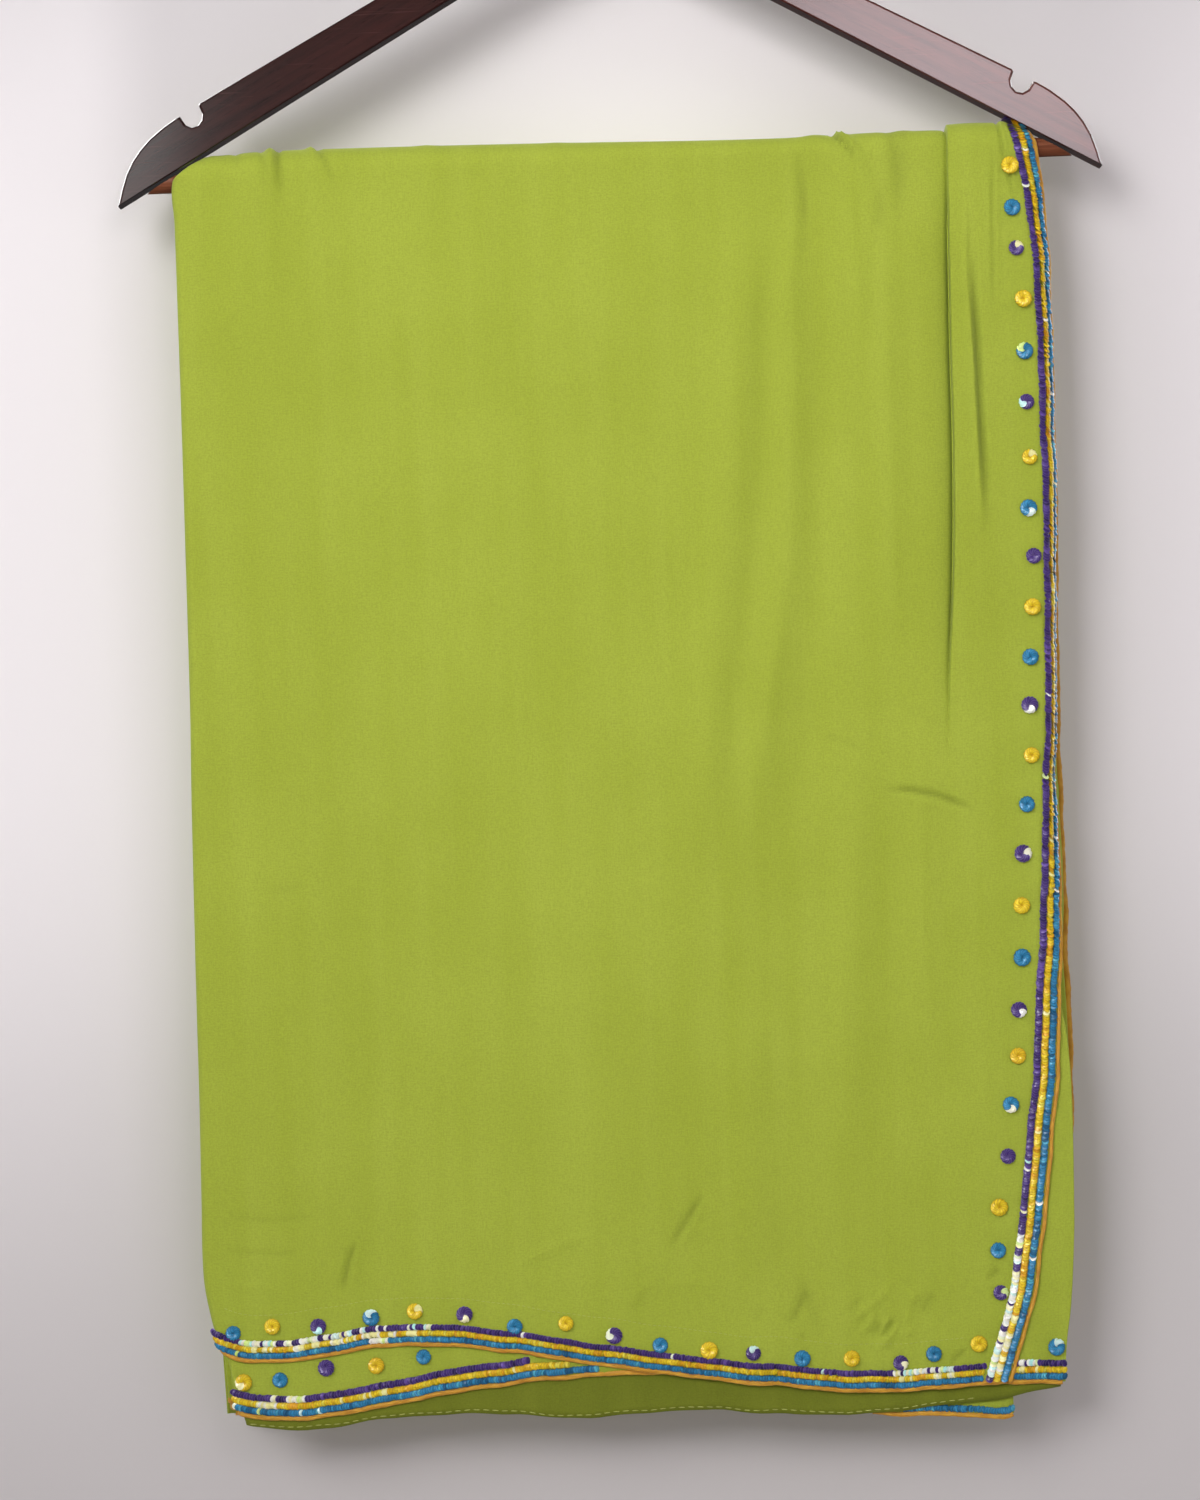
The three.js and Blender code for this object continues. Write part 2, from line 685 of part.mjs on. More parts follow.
// A round bar or wire through centres, each with its own radius and pair of axes.
function roundBody(rings, sides) {
  const positions = [];
  for (const ring of rings) {
    for (let n = 0; n < sides; n++) {
      const angle = (2 * Math.PI * n) / sides;
      const point = ring.at
        .clone()
        .addScaledVector(ring.u, ring.radius * Math.cos(angle))
        .addScaledVector(ring.v, ring.radius * Math.sin(angle));
      if (ring.shape) ring.shape(point);
      positions.push(...point.toArray());
    }
  }
  const triangles = [];
  for (let r = 0; r + 1 < rings.length; r++) {
    for (let n = 0; n < sides; n++) {
      const a = r * sides + n;
      const b = r * sides + ((n + 1) % sides);
      triangles.push(a, b, b + sides, a, b + sides, a + sides);
    }
  }
  const last = (rings.length - 1) * sides;
  for (let n = 1; n + 1 < sides; n++) {
    triangles.push(0, n + 1, n);
    triangles.push(last, last + n, last + n + 1);
  }
  const geometry = new THREE.BufferGeometry();
  geometry.setAttribute("position", new THREE.Float32BufferAttribute(positions, 3));
  geometry.setIndex(triangles);
  return facingOut(geometry);
}

// The bar between the arms; each end is cut to the slope of the arm that it meets.
function barGeometry() {
  const u = new THREE.Vector3(0, 1, 0);
  const v = new THREE.Vector3(0, 0, 1);
  const gap = 2 * SEAM;
  const end = (side) => (point) => {
    const up = point.z + HANGER.tipDrop;
    point.x = side * (HANGER.halfSpan - up / HANGER.lowerSlope - gap / Math.sin(Math.atan(HANGER.lowerSlope)));
  };
  const at = new THREE.Vector3(0, 0, -BAR.drop);
  return roundBody(
    [
      { at, u, v, radius: BAR.radius, shape: end(-1) },
      { at, u, v, radius: BAR.radius },
      { at, u, v, radius: BAR.radius, shape: end(1) },
    ],
    BAR.sides,
  );
}

// The hook: a shank on the centre line, an S-bend, and an open round bend over the rail.
function hookGeometry() {
  const centre = new THREE.Vector3(0, 0, HOOK.wire - HOOK.bend);
  const seat =
    HANGER.upperAtCentre - HANGER.upperSlope * HANGER.neckHalfWidth + HANGER.neckRise - HANGER.tipDrop;
  const onBend = (degrees) =>
    new THREE.Vector3(Math.cos(degrees * RAD), 0, Math.sin(degrees * RAD)).multiplyScalar(HOOK.bend).add(centre);
  const start = onBend(HOOK.startAngle);
  const tangent = new THREE.Vector3(-Math.sin(HOOK.startAngle * RAD), 0, Math.cos(HOOK.startAngle * RAD));
  const foot = new THREE.Vector3(0, 0, seat + SEAM);
  const shank = new THREE.CubicBezierCurve3(
    foot,
    foot.clone().add(new THREE.Vector3(0, 0, 12)),
    start.clone().addScaledVector(tangent, -9),
    start,
  );
  const points = shank.getPoints(HOOK.shankSteps);
  const directions = points.map((_, n) => shank.getTangent(n / HOOK.shankSteps));
  for (let n = 1; n <= HOOK.bendSteps; n++) {
    const degrees = HOOK.startAngle + ((HOOK.endAngle - HOOK.startAngle) * n) / HOOK.bendSteps;
    points.push(onBend(degrees));
    directions.push(new THREE.Vector3(-Math.sin(degrees * RAD), 0, Math.cos(degrees * RAD)));
  }
  const v = new THREE.Vector3(0, 1, 0);
  const rings = points.map((at, n) => ({
    at,
    u: new THREE.Vector3().crossVectors(v, directions[n]).normalize(),
    v,
    radius: HOOK.wire,
  }));
  const tip = rings[rings.length - 1];
  const onwards = directions[directions.length - 1];
  rings.push(
    { ...tip, at: tip.at.clone().addScaledVector(onwards, 1), radius: HOOK.wire * 0.86 },
    { ...tip, at: tip.at.clone().addScaledVector(onwards, 1.8), radius: HOOK.wire * 0.45 },
  );
  return roundBody(rings, HOOK.sides);
}

// --------------------------------------------------------------------- assembly

const MATERIALS = {
  cloth: { color: 0x93a63c, roughness: 0.85, metalness: 0 },
  wrongSide: { color: 0x7f9436, roughness: 0.9, metalness: 0 },
  piping: { color: 0xd29a22, roughness: 0.6, metalness: 0 },
  purple: { color: 0x45307c, roughness: 0.35, metalness: 0.1 },
  yellow: { color: 0xd8c632, roughness: 0.35, metalness: 0.1 },
  blue: { color: 0x3a8cab, roughness: 0.35, metalness: 0.1 },
  wood: { color: 0x542c28, roughness: 0.3, metalness: 0 },
  barWood: { color: 0x7a4534, roughness: 0.4, metalness: 0 },
  steel: { color: 0xb9bbbe, roughness: 0.28, metalness: 1 },
};

const saree = new THREE.Group();

function add(name, geometry, material) {
  const mesh = new THREE.Mesh(geometry, new THREE.MeshStandardMaterial(MATERIALS[material]));
  mesh.name = name;
  saree.add(mesh);
}

add("hanger_arm_left", armGeometry(-1), "wood");
add("hanger_arm_right", armGeometry(1), "wood");
add("hanger_bar", barGeometry(), "barWood");
add("hanger_hook", hookGeometry(), "steel");

add("folded_core", foldedCore(), "cloth");
add("top_layer", topLayer(), "cloth");
add("second_layer", secondLayer(), "cloth");
add(
  "wrong_side_layer",
  hemPiece(-186, 181, 16, wrongHemAt, [0, 20, 45, 70], 2 * LAYER, 1),
  "wrongSide",
);
add(
  "lower_layer",
  hemPiece(LOWER.from, LOWER.to, 6, (x) => lowerHemAt(x) - EDGE, [0, 18, 42], LOWER.depth, CLOTH.wall),
  "cloth",
);

// Trim of the top layer's end edge, all the way from the front hem to the back hem.
add("end_piping", endStrip(BAND - TRIM.piping, BAND, PIPING.outer, PIPING.inner, 0), "piping");
for (const row of ROWS) {
  const middle = BAND - row.rise;
  const strip = endStrip(middle - TRIM.row / 2, middle + TRIM.row / 2, SEQUINS.outer, SEQUINS.inner, EDGE);
  add(`end_row_${row.colour}`, strip, row.colour);
}

// Trims of the hems stop where the end border crosses them.
const topColumns = (s) => {
  const start = foldStart(s);
  return [start - LEFT_FOLD.run, start - FOLD_COLUMN, start - FOLD_COLUMN / 2, ...flatColumns(s)];
};
const pipingColumns = (s) => [...topColumns(s), bandStart(s) + BAND - EDGE];
const rowColumns = (s) => {
  const columns = topColumns(s);
  columns[columns.length - 1] += BAND - ROWS[2].rise - TRIM.row / 2 - SEAM;
  return columns;
};
for (const hem of [
  { name: "front", side: 1, at: frontHemAt },
  { name: "back", side: -1, at: backHemAt },
]) {
  add(
    `${hem.name}_hem_piping`,
    hemStrip(pipingColumns, hem.at, hem.side, 0, TRIM.piping, PIPING.outer, PIPING.inner),
    "piping",
  );
  for (const row of ROWS) {
    const low = row.rise - TRIM.row / 2;
    const strip = hemStrip(rowColumns, hem.at, hem.side, low, low + TRIM.row, SEQUINS.outer, SEQUINS.inner);
    add(`${hem.name}_hem_row_${row.colour}`, strip, row.colour);
  }
}

// Columns from the left fold to a given x, in steps.
const columnsTo = (x, steps) => (s) => {
  const start = foldStart(s);
  const even = Array.from({ length: steps + 1 }, (_, n) => start + ((x - start) * n) / steps);
  return [start - FOLD_COLUMN, start - FOLD_COLUMN / 2, ...even];
};
const columnsBetween = (from, to, steps) => () =>
  Array.from({ length: steps + 1 }, (_, n) => from + ((to - from) * n) / steps);

// The second layer's hem shows at the left, below the top layer's hem, and at the right corner.
const secondPipingColumns = (s) => [
  foldStart(s) - FOLD_COLUMN,
  foldStart(s) - FOLD_COLUMN / 2,
  ...flatColumns(s),
  bandStart(s) + BEND,
  secondSideAt(s) - 2.4,
];
add(
  "second_hem_piping",
  hemStrip(secondPipingColumns, secondHemAt, 1, 0, TRIM.piping, LAYER, LAYER + PIPING.inner),
  "piping",
);
const SECOND_ROW_END = { purple: -70, yellow: -54, blue: -36 };
const CORNER = { from: 165.5, to: 181, steps: 2 };
for (const row of ROWS) {
  const low = row.rise - TRIM.row / 2;
  const sequins = (columns) =>
    hemStrip(columns, secondHemAt, 1, low, low + TRIM.row, LAYER + SEQUINS.outer, LAYER + SEQUINS.inner);
  add(`second_hem_row_${row.colour}`, sequins(columnsTo(SECOND_ROW_END[row.colour], 7)), row.colour);
  const corner = columnsBetween(CORNER.from, CORNER.to, CORNER.steps);
  add(`second_corner_row_${row.colour}`, sequins(corner), row.colour);
}

// The lower layer shows its piping and blue row only.
const lowerColumns = columnsBetween(LOWER.from, LOWER.to, 6);
add(
  "lower_hem_piping",
  hemStrip(lowerColumns, lowerHemAt, 1, 0, TRIM.piping, LOWER.depth, LOWER.depth + CLOTH.wall),
  "piping",
);
const lowerBlue = ROWS[0].rise - TRIM.row / 2;
add(
  "lower_hem_row_blue",
  hemStrip(lowerColumns, lowerHemAt, 1, lowerBlue, lowerBlue + TRIM.row, LOWER.depth - 0.8, LOWER.depth - SEAM),
  "blue",
);

export default saree;
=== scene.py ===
"""A saree with a sequinned border, folded along its length and hung over a wooden hanger's bar.

The cloth is laid out in the part's own drape coordinates, in millimetres:
    s      length down the front drop; 0 at the bar's centre line, negative over the bar
           and down the back drop
    q      length across the cloth, equal to x where the cloth is flat
    depth  distance in from the outer face of the top layer
Meshes are made in metres, +Z up, and the front faces -Y.
"""
import logging
import math
from dataclasses import dataclass
from enum import Enum
from typing import Callable, Sequence

import bpy
import numpy as np
from mathutils import Matrix, Vector


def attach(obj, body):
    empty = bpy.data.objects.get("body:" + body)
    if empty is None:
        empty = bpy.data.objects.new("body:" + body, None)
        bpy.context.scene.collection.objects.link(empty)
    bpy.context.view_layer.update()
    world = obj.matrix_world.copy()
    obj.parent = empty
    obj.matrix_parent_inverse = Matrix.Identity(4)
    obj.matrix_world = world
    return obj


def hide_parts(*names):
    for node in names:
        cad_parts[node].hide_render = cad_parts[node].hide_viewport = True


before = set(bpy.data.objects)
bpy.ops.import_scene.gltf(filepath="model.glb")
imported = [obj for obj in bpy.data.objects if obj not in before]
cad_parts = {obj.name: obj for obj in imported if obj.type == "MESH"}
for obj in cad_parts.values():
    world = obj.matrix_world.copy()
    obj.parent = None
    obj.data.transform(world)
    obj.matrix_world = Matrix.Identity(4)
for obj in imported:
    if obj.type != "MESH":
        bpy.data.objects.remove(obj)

LOG = logging.getLogger("saree")
MM = 0.001
BODY = "root"
Array = np.ndarray
Piece = bpy.types.Object
Paint = bpy.types.Material
RGB = tuple[float, float, float]

# ------------------------------------------------------------------ sizes shared by all cloth
BAR_RADIUS = 4.5
BAR_DROP = 197.8
SEAM = 0.3
CREST_LENGTH = 30.0
WALL = 1.2  # wall that the solids give a layer
LAYER = WALL + SEAM
BAND = 14.0  # length of cloth that the end border takes, from where the cloth turns
BEND = 6.0  # length over which that turn is made
PURPLE = 2.85  # the purple row's place along the turn
PIPING_WIDTH = 2.3
FRONT_NOMINAL = 561.0
BACK_NOMINAL = 556.0
ROW_RISES = {"blue": 4.3, "yellow": 7.7, "purple": 11.1}  # in from the piping's outer edge

# s, x of the left fold, x of the long tuck, x of the purple row, degrees the border is turned
# away, height of the outer face over the bar's tangent, length of hidden layers past the turn
DRAPE_ROWS = (
    (590, -187, 108, 138, 0, 13.2, 40),
    (572, -189.5, 114, 143.5, 0, 13.2, 38),
    (560, -193.3, 118, 148, 0, 13.2, 37),
    (547, -195.2, 121, 152, 0, 13.2, 34),
    (537, -196.9, 123, 155.4, 0, 13.1, 31),
    (519, -201.6, 125, 160.4, 0, 13, 28),
    (498, -204.8, 127, 164.7, 0, 12.9, 25),
    (462, -204.4, 130, 169.8, 0, 12.7, 21),
    (417, -203.5, 133, 175.6, 8, 12.5, 15.5),
    (375, -203, 136, 179.4, 21, 12.3, 12.5),
    (335, -202.4, 138.5, 182.6, 38, 12, 10.5),
    (300, -201.8, 141, 184.8, 57, 11.8, 5),
    (280, -201.4, 142, 186.1, 64, 11.7, 4.5),
    (240, -200.4, 144, 188.4, 68, 11.4, 4.5),
    (190, -199.8, 148, 189.9, 64, 11, 4.5),
    (140, -199.3, 150.2, 190.9, 55, 10.5, 4.8),
    (90, -198.8, 151, 191.1, 52, 10, 5),
    (50, -198.7, 152, 190.6, 48, 9.3, 5),
    (20, -198.8, 153, 188.2, 38, 8.4, 5.5),
    (0, -198.9, 153.4, 184.5, 30, 7.4, 6),
    (-7.5, -192.6, 153.8, 182, 27, 7, 5),
    (-15, -186.5, 154, 181, 27, 7, 4.5),
    (-22.5, -192.6, 153.5, 182, 27, 7, 5),
    (-30, -198.6, 153, 184.5, 27, 7.4, 6),
    (-50, -199.2, 152, 187, 22, 8.4, 10),
    (-100, -199.8, 150, 188.6, 18, 9.6, 11),
    (-185, -200.4, 147, 188.8, 15, 10.6, 11),
    (-280, -201, 143, 186, 15, 11.3, 11),
    (-370, -201.6, 139, 185.4, 15, 11.9, 11),
    (-470, -202, 136, 184.4, 12, 12.4, 11),
    (-560, -200.6, 134, 177, 8, 12.7, 11),
    (-610, -199, 133, 174.5, 5, 12.7, 11),
)
# x, height of the pile over the bar's top
CREST_ROWS = (
    (-186, 5.6), (-176, 7), (-155, 8.1), (-100, 7.7), (-50, 6.9), (0, 5.8), (40, 4.8),
    (80, 4.3), (105, 4.6), (118, 5), (150, 5.2), (172, 6.3), (190, 6.8),
)
# share across the body, half width as a share, height, and the stretch of s it runs over
SOFT_FOLDS = (
    (0.3, 0.05, -0.5, -520, -80),
    (0.62, 0.04, 0.9, -540, -60),
    (0.69, 0.03, -1.0, -500, -50),
    (0.905, 0.03, 0.7, -400, -50),
)
# bottom edges: x, and s of the lowest edge
FRONT_HEM = (
    (-206, 530.6), (-200, 532.2), (-195, 534), (-189, 535.8), (-180, 537.2), (-165, 537),
    (-142, 534), (-125, 532.6), (-100, 532.6), (-81, 535), (-45, 541.2), (-9, 548),
    (18, 552.4), (63, 558.8), (90, 561.6), (117, 562), (156, 560), (200, 558),
)
SECOND_HEM = (
    (-198, 558.8), (-190, 560.6), (-170, 564.2), (-151, 562.9), (-114, 557.9), (-82, 553.2),
    (-45, 550.4), (-5, 549.6), (45, 552), (95, 557), (140, 559.4), (163, 561.1), (185, 561.6),
    (200, 561),
)
WRONG_HEM = (
    (-192, 564.5), (-175, 567.6), (-158, 568.4), (-123, 565), (-82, 564.3), (-40, 568),
    (23, 566.9), (53, 570.4), (95, 571.7), (131, 569.1), (154, 567.3), (185, 562.4),
)
LOWER_HEM = ((90, 572.3), (117, 574.4), (139, 575.5), (156, 576.6), (163, 574))
BACK_HEM = ((-205, 566), (-150, 567), (-60, 562), (40, 555), (120, 549), (200, 546))
# s, x of the right-hand edge of the second layer
SECOND_SIDE = (
    (385, 190.2), (408, 193), (433, 193.4), (465, 192.5), (492, 191.6), (524, 189), (544, 186),
    (562, 184.6), (580, 183),
)
# s below which the rows of the front drop, then of the back drop, bend to follow their hem
FRONT_EVEN, BACK_EVEN = 430, -460


# ------------------------------------------------------------------------------ small maths
def smooth_step(low: float, high: float, at: Array | float) -> Array:
    """Rises smoothly from 0 at low to 1 at high."""
    share = np.clip((np.asarray(at, float) - low) / (high - low), 0.0, 1.0)
    return share * share * (3.0 - 2.0 * share)


def unit(vectors: Array) -> Array:
    """Vectors scaled to a length of one."""
    return vectors / np.maximum(np.linalg.norm(vectors, axis=-1, keepdims=True), 1e-12)


def run_along(points: Array) -> Array:
    """Length gone along a line at each of its points."""
    return np.concatenate([[0.0], np.cumsum(np.linalg.norm(np.diff(points, axis=0), axis=1))])


def follow_hems(nominal: Array | float, front: Array, back: Array) -> Array:
    """Moves places down the cloth so that the end of each drop follows its hem.

    Args:
        nominal: Nominal s of the places.
        front: How far the front hem lies below its nominal s.
        back: The same of the back hem.

    Returns:
        s of the places.
    """
    s = nominal + front * np.clip((nominal - FRONT_EVEN) / (FRONT_NOMINAL - FRONT_EVEN), 0, 1)
    return s - back * np.clip((BACK_EVEN - nominal) / (BACK_NOMINAL + CREST_LENGTH + BACK_EVEN), 0, 1)


class Curve:
    """A smooth curve through the rows of a table."""

    def __init__(self, keys: Sequence[float], values: Sequence[float]) -> None:
        """Sorts the rows and works out the slope at each.

        Args:
            keys: Where each value stands.
            values: The values that the curve passes through.
        """
        order = np.argsort(keys)
        self.keys = np.asarray(keys, float)[order]
        self.values = np.asarray(values, float)[order]
        before = np.maximum(np.arange(len(order)) - 1, 0)
        after = np.minimum(np.arange(len(order)) + 1, len(order) - 1)
        self.slopes = (self.values[after] - self.values[before]) / (self.keys[after] - self.keys[before])

    @classmethod
    def of(cls, rows: Sequence[tuple[float, ...]], column: int = 1) -> "Curve":
        """The curve through one column of a table whose first column is the key."""
        return cls([row[0] for row in rows], [row[column] for row in rows])

    def __call__(self, at: Array | float) -> Array:
        """Value of the curve.

        Args:
            at: Places along the key.

        Returns:
            The values there, held level past both ends.
        """
        key = np.clip(np.asarray(at, float), self.keys[0], self.keys[-1])
        low = np.clip(np.searchsorted(self.keys, key, side="right") - 1, 0, len(self.keys) - 2)
        width = self.keys[low + 1] - self.keys[low]
        t = (key - self.keys[low]) / width
        t2, t3 = t * t, t * t * t
        return (
            (2 * t3 - 3 * t2 + 1) * self.values[low]
            + (t3 - 2 * t2 + t) * width * self.slopes[low]
            + (3 * t2 - 2 * t3) * self.values[low + 1]
            + (t3 - t2) * width * self.slopes[low + 1]
        )


@dataclass(frozen=True)
class Waves:
    """An uneven ripple along a line: a few sines of unlike lengths.

    Attributes:
        lengths: Length of each sine, in millimetres.
        seed: Seed of their phases.
    """

    lengths: tuple[float, ...]
    seed: int

    def __call__(self, at: Array | float) -> Array:
        """Ripple from about -1 to 1 at each place."""
        phases = np.random.default_rng(self.seed).uniform(0, 2 * math.pi, len(self.lengths))
        at = np.asarray(at, float)
        total = sum(np.sin(2 * math.pi * at / length + phase) for length, phase in zip(self.lengths, phases))
        return total / math.sqrt(len(self.lengths))


@dataclass(frozen=True)
class Crease:
    """One listed crease.

    Attributes:
        high: Height of its ridge, or depth of its trough where negative.
        half: Half width of the ridge.
        ease: Share of its length over which each end fades.
        line: The (x, s) points that it runs through.
    """

    high: float
    half: float
    ease: float
    line: Sequence[tuple[float, float]]

    def height(self, x: Array, s: Array) -> Array:
        """Height that the crease adds.

        Args:
            x: Places across the cloth.
            s: Places down the cloth.

        Returns:
            The height at each place.
        """
        line = np.asarray(self.line, float)
        lengths = np.linalg.norm(np.diff(line, axis=0), axis=1)
        starts = run_along(line)
        nearest = np.full(x.shape, 1e9)
        share = np.zeros(x.shape)
        for number, length in enumerate(lengths):
            ax, as_ = line[number]
            dx, ds = (line[number + 1] - line[number]) / length
            t = np.clip((x - ax) * dx + (s - as_) * ds, 0, length)
            gap = np.hypot(x - ax - t * dx, s - as_ - t * ds)
            closer = gap < nearest
            nearest = np.where(closer, gap, nearest)
            share = np.where(closer, (starts[number] + t) / starts[-1], share)
        fade = smooth_step(0, self.ease, share) * smooth_step(0, self.ease, 1 - share)
        return self.high * np.exp(-((nearest / self.half) ** 2)) * fade


